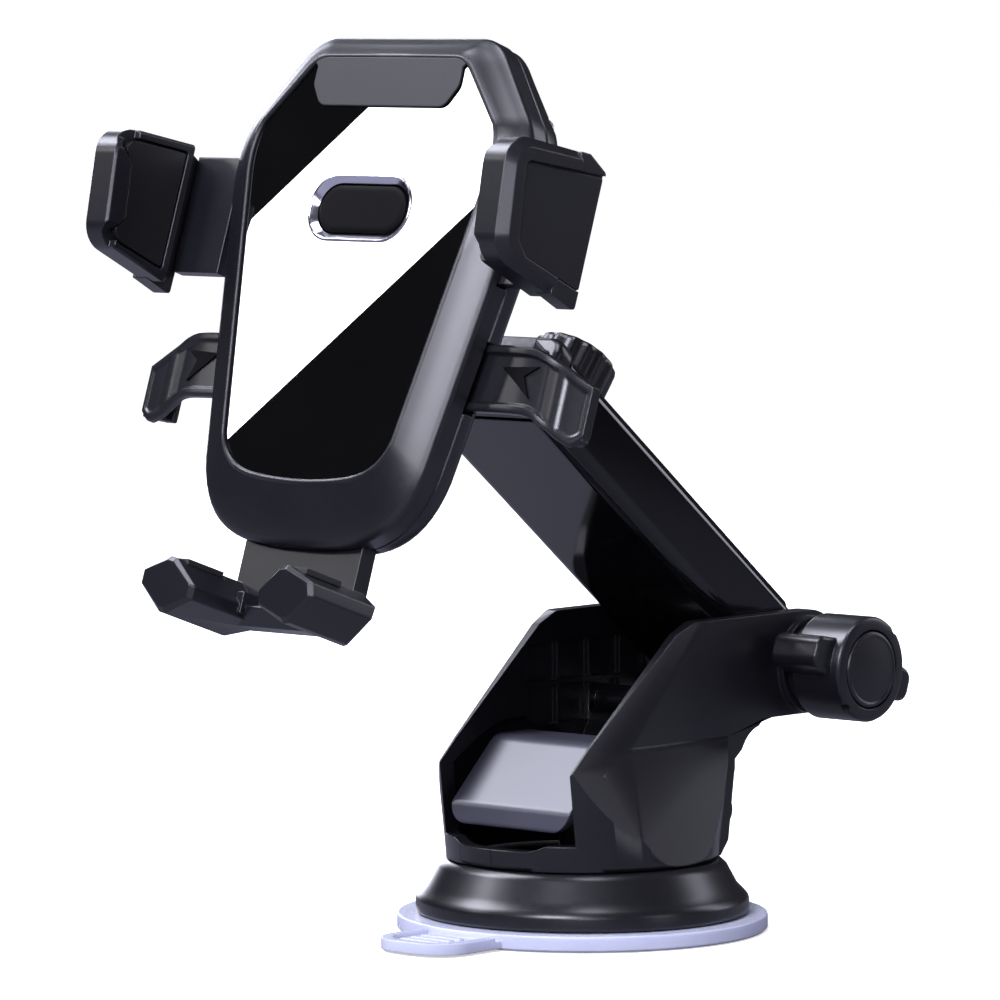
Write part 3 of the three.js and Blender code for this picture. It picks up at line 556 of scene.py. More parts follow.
# ---- Housing -----------------------------------------------------------------------------------
INNER = ARM_HALF + 0.5
HINGE_R = 12
CUP_R = 31.2
SHOULDERS = 45
BACK_R = 33.2
FAR = 90
LEVER_PIN = (3, 31)
HOUSING_SCREWS = [(30.5, 45.5), (21.5, 25)]
# The plane that slants off each wall's outer front edge: which way it faces, and how far out it is.
SLANT_FACING = (0.913, -0.289, 0.287)
SLANT_AWAY = 35.11


def housing_side():
    """The walls' side view in (y, z)."""
    top, under = HINGE_Z + HINGE_R, HINGE_Z - HINGE_R
    nose = [
        (
            HINGE_Y + HINGE_R * math.sin(math.pi * k / 24),
            HINGE_Z + HINGE_R * math.cos(math.pi * k / 24),
        )
        for k in range(25)
    ]
    return rounded(
        [
            (-NECK_R + 2, NECK_Z), (-29, 33, 3), (-20.5, 41, 4), (7, 64, 3),
            (12.5, top - 0.2, 5),
            *nose,
            (30, under, 8), (24.5, 34, 6), (22, NECK_Z),
        ],
        8,
    )


def flanks(inset):
    """The housing's front view, wide at the neck and drawn in above, as one long bar."""
    upper, lower = HOUSING_HALF - inset, NECK_R - inset
    return prism(
        "y",
        rounded(
            [
                (-lower, NECK_Z - 1), (lower, NECK_Z - 1), (upper, 42, 20), (upper, 90),
                (-upper, 90), (-upper, 42, 20),
            ],
            6,
        ),
        (-60, 90),
    )


def beyond(normal, distance):
    """Everything past a plane, given by its normal and its distance from the origin."""
    size = 100
    piece = block((distance, distance + size), (-size, size), (-size, size))
    turn = Vector((1, 0, 0)).rotation_difference(Vector(normal)).to_matrix().to_4x4()
    piece.data.transform(turn)
    return piece


def round_limits():
    """The room the walls may fill: below the mouth's shoulders it is the cup's round outline."""
    neck = [(0, NECK_Z - 1), (NECK_R - 0.1, NECK_Z - 1)]
    front = [(CUP_R, 36), (CUP_R, SHOULDERS), (80, SHOULDERS), (80, FAR), (0, FAR)]
    back = [(BACK_R, 21.5), (BACK_R, 36), (41, 44), (80, 44), (80, FAR + 1), (0, FAR + 1)]
    behind = block((-FAR, FAR), (0.01, FAR), (0, FAR + 2))
    back_room = common(turned("z", neck + back, steps=128), behind)
    return join(turned("z", neck + front, steps=128), back_room)


def housing():
    """Both halves, made as one body and parted at the seam down the middle."""
    walls = common(prism("x", housing_side(), (-HOUSING_HALF, HOUSING_HALF)), round_limits())
    cup = turned(
        "z",
        [(0, NECK_Z), (NECK_R - 0.6, NECK_Z), (NECK_R, NECK_Z + 0.7), (31.4, 36), (31.4, 41), (0, 41)],
        steps=128,
    )
    below = prism("x", [(-40, 10), (60, 10), (60, 41), (-20.5, 41), (-40, 22.6)], (-40, 40))
    cup = common(cup, below, flanks(0))
    well = turned("z", [(0, NECK_Z - 1), (26, NECK_Z - 1), (28, 36), (19, 44), (0, 44)], steps=96)
    well = common(well, flanks(2.4))
    channel = prism(
        "x",
        [(-40, 21), (12, 21), (25, 45), (70, 45), (70, 80), (-40, 80)],
        (-INNER, INNER),
    )
    mouth = prism("y", rectangle(INNER, 19.6, 90, 11, 10), (-40, -10))
    out, forward, up = SLANT_FACING
    bevels = [beyond((out * side, forward, up), SLANT_AWAY) for side in (-1, 1)]
    pockets = [
        block((-INNER - 1.4, INNER + 1.4), (y - 4.8, y + 4.8), (z - 4.2, z + 4.2))
        for y in (8, 18.5, 29)
        for z in (46, 55.5)
    ]
    collars = rod("x", 10.6, (-HOUSING_HALF - 1.6, HOUSING_HALF + 1.6), (HINGE_Y, HINGE_Z))
    hollow = block((-INNER, INNER), (HINGE_Y - 20, HINGE_Y + 20), (30, 90))
    bosses = [rod("x", 3.5, (-HOUSING_HALF + 1, HOUSING_HALF - 1), at, 32) for at in HOUSING_SCREWS]
    body = cut(join(walls, cup), well, channel, mouth, *bevels, *pockets)
    body = join(body, *bosses, cut(collars, hollow))
    holes = [
        rod("x", 2.1, (-20.2, 20.2), LEVER_PIN, 24),
        rod("x", 3.3, (-40, 40), (HINGE_Y, HINGE_Z), 32),
        rod("x", 6.2, (-40, -HOUSING_HALF + 0.6), (HINGE_Y, HINGE_Z), 6),
    ]
    for at in HOUSING_SCREWS:
        holes.append(rod("x", 1.8, (-HOUSING_HALF, 9), at, 24))
        holes.append(rod("x", 3.1, (-HOUSING_HALF - 12, -HOUSING_HALF + 4), at, 32))
    body = cut(body, *holes)
    for name, side in (("left", -1), ("right", 1)):
        near, far = sorted((side * 0.08, side * 60))
        half = common(copied(body), block((near, far), (-60, 90), (0, 90)))
        placed(
            f"housing_shell_{name}", softened(half, 0.55, 3), BASE, "base",
            BLACK, [f"housing_{name}"],
        )
    bpy.data.objects.remove(body)


# ---- Suction lever -----------------------------------------------------------------------------
def suction_lever():
    half = ARM_HALF - 1.2
    shell = prism(
        "x",
        rounded(
            [
                (-24.6, 23.5, 0.8), (-23.4, 28, 3), (-9.5, 41.5, 5), (3, 41.5, 4),
                (9, 35, 4), (7, 27, 3), (0, 26.5, 2), (-8.4, 38.6, 3), (-20.4, 27.2, 2),
                (-22.4, 23.5, 0.8),
            ],
            6,
        ),
        (-half, half),
    )
    corners = prism("y", rectangle(half, 23.5, 60, 5, 8), (-40, 40))
    bore = rod("x", 2.1, (-30, 30), LEVER_PIN, 24)
    cheeks = prism("x", [(-7, 30), (0, 26.5), (7, 27), (9, 35), (3, 40), (-8, 40)], (-half, half))
    window = block((-half + 3.4, half - 3.4), (-40, 40), (20, 39))
    cheeks = cut(cheeks, window)
    lever = cut(common(join(shell, cheeks), corners), bore)
    placed(
        "lever_skin", softened(lever, 0.7, 3), BASE, "lever", LEVER_SKIN,
        ["suction_lever"],
    )


# ---- Hinge knob --------------------------------------------------------------------------------
def hinge_knob():
    """The drum on the hinge's bolt, with a grip wing on each side and a cap in its end."""
    inner, outer = HOUSING_HALF + 1.9, 40
    drum = turned(
        "x",
        [
            (0, inner), (9.5, inner), (9.5, inner + 2.5), (11.2, inner + 2.5),
            (11.5, inner + 3), (11.5, outer - 0.9), (11.2, outer - 0.3), (10.6, outer),
            (8.7, outer), (8.6, outer - 0.3), (8.6, outer - 3), (0, outer - 3),
        ],
        steps=96,
    )
    wings = prism(
        "x",
        rounded(
            [(-17, -3.4, 2.6), (0, -5.6, 3), (17, -3.4, 2.6), (17, 3.4, 2.6), (0, 5.6, 3), (-17, 3.4, 2.6)]
        ),
        (inner + 1, outer - 2.2),
    )
    notches = [
        rod("x", 1.3, (outer - 1.6, outer + 2), (11.9 * math.cos(a), 11.9 * math.sin(a)), 24)
        for a in (math.radians(62), math.radians(242))
    ]
    room = [rod("x", 6, (inner + 3, outer - 3), (0, 0), 6), rod("x", 3.3, (inner - 5, outer - 4))]
    grip = cut(join(drum, softened(wings, 0.9, 3)), *notches, *room)
    placed(
        "knob_grip", softened(grip, 0.35, 3), KNOB, "hinge_knob", BLACK,
        ["wing_knob"],
    )
    cap = turned(
        "x",
        [
            (0, outer - 2.7), (8.3, outer - 2.7), (8.3, outer - 0.2),
            (8.05, outer + 0.15), (7.5, outer + 0.25), (7.2, outer + 0.05),
            (6.9, outer + 0.05), (4, outer + 0.3), (0, outer + 0.4),
        ],
        steps=96,
    )
    placed("knob_disc", cap, KNOB, "hinge_knob", BLACK, ["knob_cap"])


# ---- Arm ---------------------------------------------------------------------------------------
def arm():
    wall = 2.2
    tube = layered(
        "z",
        [
            (8.5, rectangle(ARM_HALF - 0.3, ARM_LOW + 0.3, ARM_HIGH - 0.3, 3.2, 8)),
            (9.2, rectangle(ARM_HALF, ARM_LOW, ARM_HIGH, 3.5, 8)),
            (ARM_L, rectangle(ARM_HALF, ARM_LOW, ARM_HIGH, 3.5, 8)),
        ],
    )
    room_outline = rectangle(ARM_HALF - wall, ARM_LOW + wall, ARM_HIGH - wall, 1.5)
    barrel_half = ARM_HALF - 1.6
    barrel = rod("x", -ARM_LOW + 1.6, (-barrel_half, barrel_half))
    barrel = softened(barrel, 0.4)
    neck = block((-barrel_half, barrel_half), (ARM_LOW + 0.4, ARM_HIGH - 1.2), (0, 12))
    holes = [
        prism("z", room_outline, (16, ARM_L + 5)),
        rod("x", 3.3, (-40, 40)),
        rod("y", 3, (ARM_HIGH - 5, ARM_HIGH + 5), (0, LOCK_AT), 32),
        rod("y", 5, (ARM_HIGH - wall - 0.5, ARM_HIGH - 0.7), (0, LOCK_AT), 32),
    ]
    outer = cut(join(tube, barrel, neck), *holes)
    placed("arm_tube", softened(outer, 0.3), ARM, "outer_arm", GLOSS, ["outer_arm"])

    low, high, end = ARM_LOW + 0.2, ARM_HIGH + 1.8, ARM_L + 5.5
    half = ARM_HALF - 0.2
    band = layered(
        "z",
        [
            (ARM_L + GAP, rectangle(half - 0.5, low + 0.5, high - 0.5, 3.5, 8)),
            (ARM_L + GAP + 0.4, rectangle(half - 0.1, low + 0.1, high - 0.1, 4, 8)),
            (ARM_L + GAP + 1.0, rectangle(half, low, high, 4, 8)),
            (end - 1.6, rectangle(half, low, high, 4, 8)),
            (end - 0.7, rectangle(half - 0.3, low + 0.3, high - 0.3, 4, 8)),
            (end - 0.15, rectangle(half - 0.9, low + 0.9, high - 0.9, 3.6, 8)),
            (end, rectangle(half - 1.6, low + 1.6, high - 1.6, 3, 8)),
        ],
    )
    throat = prism("z", rectangle(ARM_HALF - wall, ARM_LOW + wall, ARM_HIGH - wall, 1.5), (90, 120))
    placed(
        "collar_band", cut(band, throat), ARM, "outer_arm", BLACK,
        ["arm_collar"],
    )


def fluted(radius, depth, flutes, steps=8):
    """A round outline with wide smooth grooves."""
    outline = []
    for i in range(flutes * steps):
        wave = 0.5 + 0.5 * math.cos(2 * math.pi * i / steps)
        r = radius - depth * wave
        angle = 2 * math.pi * i / (flutes * steps)
        outline.append((r * math.cos(angle), LOCK_AT + r * math.sin(angle)))
    return outline


def lock_knob():
    low, high = ARM_HIGH + GAP, ARM_HIGH + 11.9
    grip = layered(
        "y",
        [
            (low, fluted(9.1, 0.3, 16)), (low + 0.4, fluted(9.6, 0.5, 16)),
            (high - 1.6, fluted(9.6, 0.5, 16)), (high - 0.6, fluted(9.3, 0.4, 16)),
            (high - 0.12, fluted(8.7, 0.2, 16)), (high, fluted(8.0, 0.1, 16)),
        ],
    )
    stud = rod("y", 2.6, (ARM_HIGH - 0.7, ARM_HIGH + 1), (0, LOCK_AT), 32)
    dish_side = [(0, high + 1), (6.2, high + 1), (6.0, high - 0.25), (0, high - 0.45)]
    dish = turned("y", dish_side, (0, 0, LOCK_AT))
    placed(
        "lock_grip", cut(join(grip, stud), dish), ARM, "lock_knob", SHELL,
        ["extension_knob"],
    )


def ball_joint():
    collar_end = ARM_L + 5.5
    inner_end = collar_end + 5
    steps = 24
    start = math.asin(3 / BALL_R)
    ball = [
        (BALL_R * math.sin(start + (math.pi - start) * k / steps),
         BALL_AT - BALL_R * math.cos(start + (math.pi - start) * k / steps))
        for k in range(steps)
    ]
    profile = [
        (0, inner_end - 3.7), (4, inner_end - 3.7), (4, inner_end + 0.3),
        (5.2, inner_end + 0.3), (5.2, inner_end + 1.5), (4.9, inner_end + 1.8),
        (3.6, inner_end + 1.9), (3, inner_end + 2.6),
        *ball,
        (0, BALL_AT + BALL_R),
    ]
    stud = turned("z", profile, (0, ARM_MIDDLE, 0), 64)
    placed("ball_on_stud", stud, ARM, "inner_arm", DARK_GREY, ["ball_stud"])

    lip = 3.6
    profile = [
        (12.8, -10.5), (15.6, -10.5), (16.0, -10.0), (16.0, 3.6), (15.2, 5.0),
        (13.6, 6), (9.4, 6), (8.9, 5.6), (10.2, lip), (12.8, lip - 0.6),
    ]
    centre = (0, BALL_BEHIND, BALL_ABOVE)
    nut = turned("y", profile, centre, 96)
    ribs = []
    for i in range(24):
        rib = block((-0.55, 0.55), (BALL_BEHIND - 9.6, BALL_BEHIND + 3.4), (15.7, 16.25))
        turn = Matrix.Rotation(2 * math.pi * i / 24, 4, "Y")
        rib.data.transform(Matrix.Translation((0, 0, BALL_ABOVE)) @ turn)
        ribs.append(rib)
    placed(
        "ring_nut", softened(join(nut, *ribs), 0.2, 2, 40), HEAD, "ball_nut",
        SHELL, ["ball_nut"],
    )


# ---- Head --------------------------------------------------------------------------------------
SCREW_PLACES = [(-33.2, 38), (33.2, 38), (-20.6, -45.8), (20.6, -45.8)]


def front_bezel():
    """The frame round the face, and the grey tab at its top."""
    inner = [Vector(p) for p in face_outline()]
    outer = [Vector(p) for p in rim_outline()]
    from_inner = [(0, FRAME_D), (0, 0.75), (0.1, 0.3), (0.38, 0.04), (0.75, 0.0), (1.0, 0.12), (1.2, 0.4)]
    from_outer = [(1.5, 3.35), (0.6, 3.9), (0.15, 4.4), (0.0, 5.1), (0.0, FRAME_D - 0.3), (0.3, FRAME_D)]
    rings = []
    for away, y in from_inner:
        rings.append([(*(a + (b - a).normalized() * away), y) for a, b in zip(inner, outer)])
    for share in (0.25, 0.5, 0.75):
        depth = 0.4 + 2.95 * share - 0.14 * math.sin(math.pi * share)
        ring = []
        for a, b in zip(inner, outer):
            along = (b - a).normalized()
            start, end = a + along * 1.2, b - along * 1.5
            ring.append((*start.lerp(end, share), depth))
        rings.append(ring)
    for back, y in from_outer:
        rings.append([(*(b - (b - a).normalized() * back), y) for a, b in zip(inner, outer)])
    bezel = skinned([[(x, y, z) for x, z, y in ring] for ring in rings], closed_tube=True)
    slot = CLAMP_Z - 13.2, CLAMP_Z + 13.2
    tools = [
        block((-60, 60), (5.6, 20), slot),
        block((-17, 17), (6.3, 20), (-70, -30)),
        *[rod("y", 1.7, (4.6, 20), at, 24) for at in SCREW_PLACES],
    ]
    placed(
        "bezel_frame", cut(bezel, *tools), HEAD, "head", SHELL,
        ["front_bezel"],
    )

    ear = 21.4
    outline = rounded(
        [
            (-17.4, 38.5, 3), (17.4, 38.5, 3), (20.4, 43, 3), (20.3, 47.0, 0.2),
            (21.2, 47.9, 0.6), (ear, 49.2, 0), (-ear, 49.2, 0), (-21.2, 47.9, 0.6),
            (-20.3, 47.0, 0.2), (-20.4, 43, 3),
        ],
        6,
    )
    tab = softened(prism("y", outline, (0.16, 0.78)), 0.2, 3)
    placed("top_tab", tab, HEAD, "head", TAB_GREY)


def face():
    plate = prism("y", face_outline(0.12), (0.8, 2.8))
    hole = prism("y", pill(14.3, 7.3), (-1, 5))
    placed(
        "mirror_face", cut(plate, hole), HEAD, "head", MIRROR_BLACK,
        ["face_plate"],
    )
    profile = [
        (0.0, 2.9), (0.0, 0.72), (0.12, 0.55), (0.35, 0.5), (0.6, 0.6), (1.72, 1.75),
        (1.8, 1.9), (1.8, 2.9),
    ]
    rings = [[(a, y, b) for a, b in pill(14.2 - inset, 7.2 - inset)] for inset, y in profile]
    ring = skinned(rings, closed_tube=True)
    placed("trigger_surround", ring, HEAD, "head", SILVER, ["trigger_ring"])
    button = layered(
        "y",
        [
            (3.5, pill(12.0, 5.15)), (1.9, pill(12.0, 5.15)), (1.65, pill(11.85, 5.0)),
            (1.5, pill(11.5, 4.7)), (1.42, pill(10.4, 3.8)),
        ],
    )
    placed("trigger_cap", button, HEAD, "trigger", BUTTON_BLACK, ["trigger_button"])


def rear_cover():
    edge = FRAME_D + GAP
    shell = layered(
        "y",
        [
            (edge, rim_outline(-0.5)), (edge + 0.3, rim_outline(-0.2)),
            (12.0, rim_outline(-0.25)), (13.6, rim_outline(-0.9)),
            (14.8, rim_outline(-2.2)), (15.5, rim_outline(-3.8)),
            (15.9, rim_outline(-5.6)), (HEAD_D, rim_outline(-7.4)),
        ],
    )
    hollow = layered("y", [(edge - 1, rim_outline(-8)), (HEAD_D - 2.2, rim_outline(-9))])
    centre = (0, BALL_BEHIND, BALL_ABOVE)
    back = HEAD_D - BALL_BEHIND
    boss = turned(
        "y",
        [(0, back - 3), (12.4, back - 3), (12.4, 1.6), (12.0, 2), (0, 2)],
        centre,
        64,
    )
    flare = turned(
        "y",
        [
            (0, back - 1), (18.5, back - 0.6), (16.2, back + 0.3), (14.6, back + 1.2),
            (0, back + 1.2),
        ],
        centre,
        96,
    )
    steps = 20
    seat = [
        ((BALL_R + 1.9) * math.sin(math.pi * k / steps), -(BALL_R + 1.9) * math.cos(math.pi * k / steps))
        for k in range(1, steps)
    ]
    seat_room = turned("y", [(0, -BALL_R - 1.9), *seat, (0, BALL_R + 1.9)], centre, 64)
    axle_boss = rod("y", 3, (12.2, HEAD_D - 1), (0, CLAMP_Z), 32)
    posts = [
        block((side * 12.5 - 1, side * 12.5 + 1), (9.6, HEAD_D - 1), (WING_Z - 4, WING_Z + 4))
        for side in (-1, 1)
    ]
    tools = [
        seat_room,
        rod("y", 1.9, (10, HEAD_D - 1.6), (0, CLAMP_Z), 24),
        *[rod("y", 1.7, (5, 20), at, 24) for at in SCREW_PLACES],
        *[rod("y", 3, (HEAD_D - 3.4, 20), at, 32) for at in SCREW_PLACES],
    ]
    tray = cut(
        shell,
        hollow,
        block((-60, 60), (edge - 1, 12.6), (WING_Z - 7.6, WING_Z + 7.6)),
        block((-17, 17), (edge - 1, 11.4), (-70, -30)),
    )
    cover = cut(join(tray, boss, flare, axle_boss, *posts), *tools)
    placed("back_shell", cover, HEAD, "head", SHELL, ["rear_cover"])


# ---- Jaws --------------------------------------------------------------------------------------
def jaw_side(inset, front=6.0):
    """The jaw's side view in (y, z)."""
    return rounded(
        [
            (-18.8 + inset, 2.2 + inset, front), (-22.0 + inset, 26.7 - inset, front),
            (1.6 - inset, 29.6 - inset, 0.8), (1.6 - inset, -0.8 + inset, 0.8),
        ],
        8,
    )


def jaws():
    """The right jaw with its pad and inlay; the left ones are its mirror image."""
    bevel = 1.9
    body = layered(
        "x",
        [
            (JAW_IN, jaw_side(0.5)), (JAW_IN + 0.5, jaw_side(0)),
            (JAW_OUT - bevel, jaw_side(0)), (JAW_OUT, jaw_side(bevel, 4.5)),
        ],
    )
    root = prism(
        "x",
        rounded(
            [
                (-1, -0.5), (6.8, -1.9, 0.8), (7.4, 27.2, 0.8), (1.6, 29.5), (-1, 29.2),
            ],
        ),
        (JAW_IN + 3.5, JAW_OUT - 0.4),
    )
    hollow = rounded(
        [
            (-0.4, 1.4, 0.8), (-17.2, 3.2, 4.6), (-20.3, 25.2, 4.6), (-0.4, 27.6, 0.8),
        ],
        8,
    )
    ledge = rounded(
        [
            (-25, 5.6), (-16.6, 5.6, 1), (-14.6, 8.6, 1), (-16.4, 20.4, 1),
            (-19.2, 22.6, 1), (-25, 22.6),
        ]
    )
    room = cut(
        prism("x", hollow, (JAW_IN - 1, JAW_IN + 1.7)),
        prism("x", ledge, (JAW_IN - 2, JAW_IN + 3)),
    )
    corners = [
        prism("y", [(50, z), (51.2, z), (53.0, z + lean), (53.0, far), (50, far)], (-30, -15.5))
        for z, lean, far in ((22.2, 2.6, 40), (7.0, -2.6, -10))
    ]
    inlay_room = rounded(
        [(9, 1.9), (-11.0, 4.1, 2), (-14.0, 6.6, 2), (-16.9, 22.6, 1.6), (9, 26.9)],
        6,
    )
    inlay_floor = prism("x", inlay_room, (JAW_OUT - 1.2, JAW_OUT + 1))
    arm_room = block((JAW_IN - 2, JAW_IN + 3.5), (5, 10), (-10, 40))
    right = softened(cut(join(body, root), room, *corners, inlay_floor, arm_room), 0.22, 3)

    pad_side = rounded(
        [
            (-0.9, 2.0, 0.6), (-15.4, 3.8, 3), (-16.0, 6.0, 0.6), (-14.1, 9.0, 0.8),
            (-15.8, 20.0, 0.8), (-18.2, 22.4, 0.8), (-18.6, 24.7, 3), (-0.9, 27.0, 0.6),
        ],
        5,
    )
    pad = softened(prism("x", pad_side, (JAW_IN + 0.25, JAW_IN + 1.6)), 0.45, 3)
    inlay_skin = rounded(
        [(7.2, 2.4, 0.6), (-10.9, 4.4, 1.9), (-13.7, 6.8, 1.9), (-16.5, 22.3, 1.5), (7.2, 26.2, 0.6)],
        6,
    )
    inlay = softened(prism("x", inlay_skin, (JAW_OUT - 1.15, JAW_OUT - 0.75)), 0.15, 2)
    for kind, piece, material, slot in (
        ("jaw", right, SHELL, "black_plastic"),
        ("jaw_pad", pad, PAD_RUBBER, "rubber"),
        ("jaw_inlay", inlay, BLACK, "black_plastic"),
    ):
        left = copied(piece, MIRROR)
        placed(f"{kind}_skin_right", piece, HEAD, "clamp_right", material, [f"{kind}_right"])
        placed(f"{kind}_skin_left", left, HEAD, "clamp_left", material, [f"{kind}_left"])


# ---- Release wings -----------------------------------------------------------------------------
WING_START, WING_END = 26, 62.2
WING_T = 2.4
WING_PATH = [(26, 9.9), (44.5, 9.9), (50, 10.6), (54, 11.9), (58, 12.7), (62.2, 13.7)]
WING_TOP = [(26, 7.3), (46.5, 7.3), (50, 6.4), (54.5, 4.4), (59, 2.0), (62.4, 0.4)]
WING_FOOT = [(26, -6.8), (46, -6.8), (49.5, -7.4), (53, -9.3), (56.5, -11.3), (59.5, -12.0), (62.4, -10)]


def along_path(points, x):
    """The smooth height of a path at x, eased between its points."""
    for (x0, a), (x1, b) in zip(points, points[1:]):
        if x <= x1:
            t = (x - x0) / (x1 - x0)
            before = points[max(points.index((x0, a)) - 1, 0)]
            after = points[min(points.index((x1, b)) + 1, len(points) - 1)]
            slope_in = (b - before[1]) / (x1 - before[0]) * (x1 - x0)
            slope_out = (after[1] - a) / (after[0] - x0) * (x1 - x0)
            return (
                a * (2 * t**3 - 3 * t**2 + 1)
                + slope_in * (t**3 - 2 * t**2 + t)
                + b * (3 * t**2 - 2 * t**3)
                + slope_out * (t**3 - t**2)
            )
    return points[-1][1]


def wing_front(x):
    """Depth of the wing's front face at x: flat out of the head, then swept back."""
    return along_path(WING_PATH, x)


def field_share(x, edge):
    """How far the hollow field between the wing's raised edges is sunk at a point."""
    across = min(1.0, max(0.0, (edge - 1.6) / 0.5))
    ends = min(1.0, max(0.0, (54.0 - x) / 3.0))
    pad = min(1.0, max(0.0, (x - 55.4) / 0.7)) * min(1.0, max(0.0, (61.4 - x) / 0.5))
    deep = min(1.0, max(0.0, (edge - 1.6) / 0.6))
    return 0.95 * across * ends + 0.3 * deep * pad


def wing_skin():
    columns, rows = 90, 44
    build = bmesh.new()
    front, back = [], []
    for i in range(columns + 1):
        x = WING_START + (WING_END - WING_START) * i / columns
        lower = WING_Z + along_path(WING_FOOT, x)
        upper = WING_Z + along_path(WING_TOP, x)
        for side in (front, back):
            line = []
            for k in range(rows + 1):
                z = lower + (upper - lower) * k / rows
                edge = min(k, rows - k) * (upper - lower) / rows
                y = wing_front(x)
                round_off = 0.5 * (1 - min(1.0, edge / 0.5)) ** 2
                if side is front:
                    y += field_share(x, edge) + round_off
                else:
                    y += WING_T - round_off
                line.append(build.verts.new((x, y, z)))
            side.append(line)
    for side in (front, back):
        for i in range(columns):
            for k in range(rows):
                build.faces.new((side[i][k], side[i + 1][k], side[i + 1][k + 1], side[i][k + 1]))
    for i in range(columns):
        for k in (0, rows):
            build.faces.new((front[i][k], front[i + 1][k], back[i + 1][k], back[i][k]))
    for i in (0, columns):
        for k in range(rows):
            build.faces.new((front[i][k], front[i][k + 1], back[i][k + 1], back[i][k]))
    plate = made(build)
    hook_plan = rounded(
        [
            (58.2, 13.2), (62.2, 14.2, 0.4), (61.6, 16.4, 1.2), (58.8, 18.8, 1),
            (56, 19, 0.6), (55.8, 17.4, 0.5), (57.6, 16.6, 0.6), (58.2, 15.2, 0.6),
        ]
    )
    hook = prism("z", hook_plan, (WING_Z - 11.0, WING_Z + 0.5))
    return join(plate, softened(hook, 0.4, 3))


def arrow_mark():
    """A plain arrowhead that lies on the wing's field and points in towards the head."""
    corners = [(40.0, -13.2), (49.3, -12.6), (46.0, -14.9), (48.2, -19.4)]
    build = bmesh.new()
    layers = []
    for lift in (0.45, 0.95):
        layers.append([build.verts.new((x, wing_front(x) + lift, z)) for x, z in corners])
    top, under = layers
    build.faces.new(top)
    build.faces.new(under)
    for i in range(len(corners)):
        k = (i + 1) % len(corners)
        build.faces.new((top[i], top[k], under[k], under[i]))
    return made(build)


def wings():
    right = wing_skin()
    mark = arrow_mark()
    left, left_mark = copied(right, MIRROR), copied(mark, MIRROR)
    for side, skin, arrow in (("right", right, mark), ("left", left, left_mark)):
        body = f"wing_{side}"
        placed(f"wing_skin_{side}", skin, HEAD, body, SHELL, [body])
        placed(f"wing_arrow_{side}", arrow, HEAD, body, BUTTON_BLACK)


# ---- Foot --------------------------------------------------------------------------------------
PRONG_X, PRONG_Z, PRONG_LEAN = 16.6, -68.3, math.radians(10)


def prong_section(grow):
    """The prong's six-sided section in (x, z), leaning outwards."""
    half, high = 7.6 + grow, 5.8 + grow
    corners = rounded(
        [
            (-half, -1.4, 0.5), (-0.8, -high, 0.8), (0.8, -high, 0.8),
            (half, -1.4, 0.5), (half, 1.4, 0.5), (0.8, high, 0.8), (-0.8, high, 0.8),
            (-half, 1.4, 0.5),
        ],
        4,
    )
    c, s = math.cos(PRONG_LEAN), math.sin(PRONG_LEAN)
    return [(PRONG_X + a * c - b * s, PRONG_Z + a * s + b * c) for a, b in corners]


def prong():
    """The right prong: a six-sided bar with a bevelled tip."""
    def ring(y, grow, tilt):
        points = []
        for x, z in prong_section(grow):
            points.append((x, y - tilt * (z - PRONG_Z), z))
        return points

    tip = -13.4
    bar = skinned([ring(tip, -1.0, 0.17), ring(tip + 0.9, 0, 0.17), ring(14, 0, 0)])
    return cut(bar, beyond((0.35, 0.91, -0.22), 28.5))


def foot():
    """The sliding blade, its cross bar and the two prongs that hold the phone."""
    blade = block((-16.4, 16.4), (6.7, 10.9), (-70, -32))
    bar = prism(
        "x",
        rounded(
            [
                (2.2, -68.2, 0.4), (3.4, -70.2, 0.6), (5, -72.1, 0.6), (10.4, -72.1, 1),
                (10.4, -66), (7, -67.4, 1),
            ]
        ),
        (-12, 12),
    )
    posts = [block((side * 9.2 - 0.9, side * 9.2 + 0.9), (1.2, 6), (-70, -65.6)) for side in (-1, 1)]
    right = prong()
    whole = join(blade, bar, *posts, right, copied(right, MIRROR))
    rooms = [
        block((side * PRONG_X - 3.2, side * PRONG_X + 3.2), (-11, 0.5), (-63.6, -50))
        for side in (-1, 1)
    ]
    placed(
        "foot_skin", softened(cut(whole, *rooms), 0.35, 3), HEAD, "foot", SHELL,
        ["foot_slide"],
    )


# ---- Carried-over CAD pieces -------------------------------------------------------------------
def carried_over():
    """CAD nodes that stay get rounded edges and a worked material."""
    finishes = {
        "black_plastic": SHELL,
        "grey_plastic": DARK_GREY,
        "rubber": RUBBER,
        "soft_pad": GEL,
        "steel": STEEL,
        "face_gloss": MIRROR_BLACK,
        "lever_plastic": LEVER_SKIN,
        "ring_chrome": SILVER,
    }
    slots = {part["node"]: part["material_slot"] for part in frame["record"]["subparts"]}
    for name, node in frame["nodes"].items():
        node.data.materials.clear()
        node.data.materials.append(finishes[slots[name]])
        if not node.hide_render:
            edges = node.modifiers.new("edges", "BEVEL")
            edges.width = 0.15 * MM
            edges.segments = 2
            edges.limit_method = "ANGLE"
            edges.angle_limit = math.radians(35)


# ---- Stage, camera and lights ------------------------------------------------------------------
CAMERA = Vector((0.92747, -1.06693, 0.19915))
AIM = Vector((-0.6636, 0.74428, -0.07535)).normalized()
FOCAL = 237.6
# The white band that the face shows: a point on its middle line, its slope and its width.
BAND_AT = (0.0, 14.8)
BAND_SLOPE = (1.0, 0.955)
BAND_WIDTH = 39.5
STRIP_AWAY = 1.3
STRIP_GLOW = 90


def camera():
    lens = bpy.data.cameras.new("camera")
    lens.lens = FOCAL
    lens.sensor_width = 36
    lens.clip_end = 20
    seen = bpy.data.objects.new("camera", lens)
    seen.location = CAMERA
    seen.rotation_euler = AIM.to_track_quat("-Z", "Y").to_euler()
    bpy.context.scene.collection.objects.link(seen)
    bpy.context.scene.camera = seen


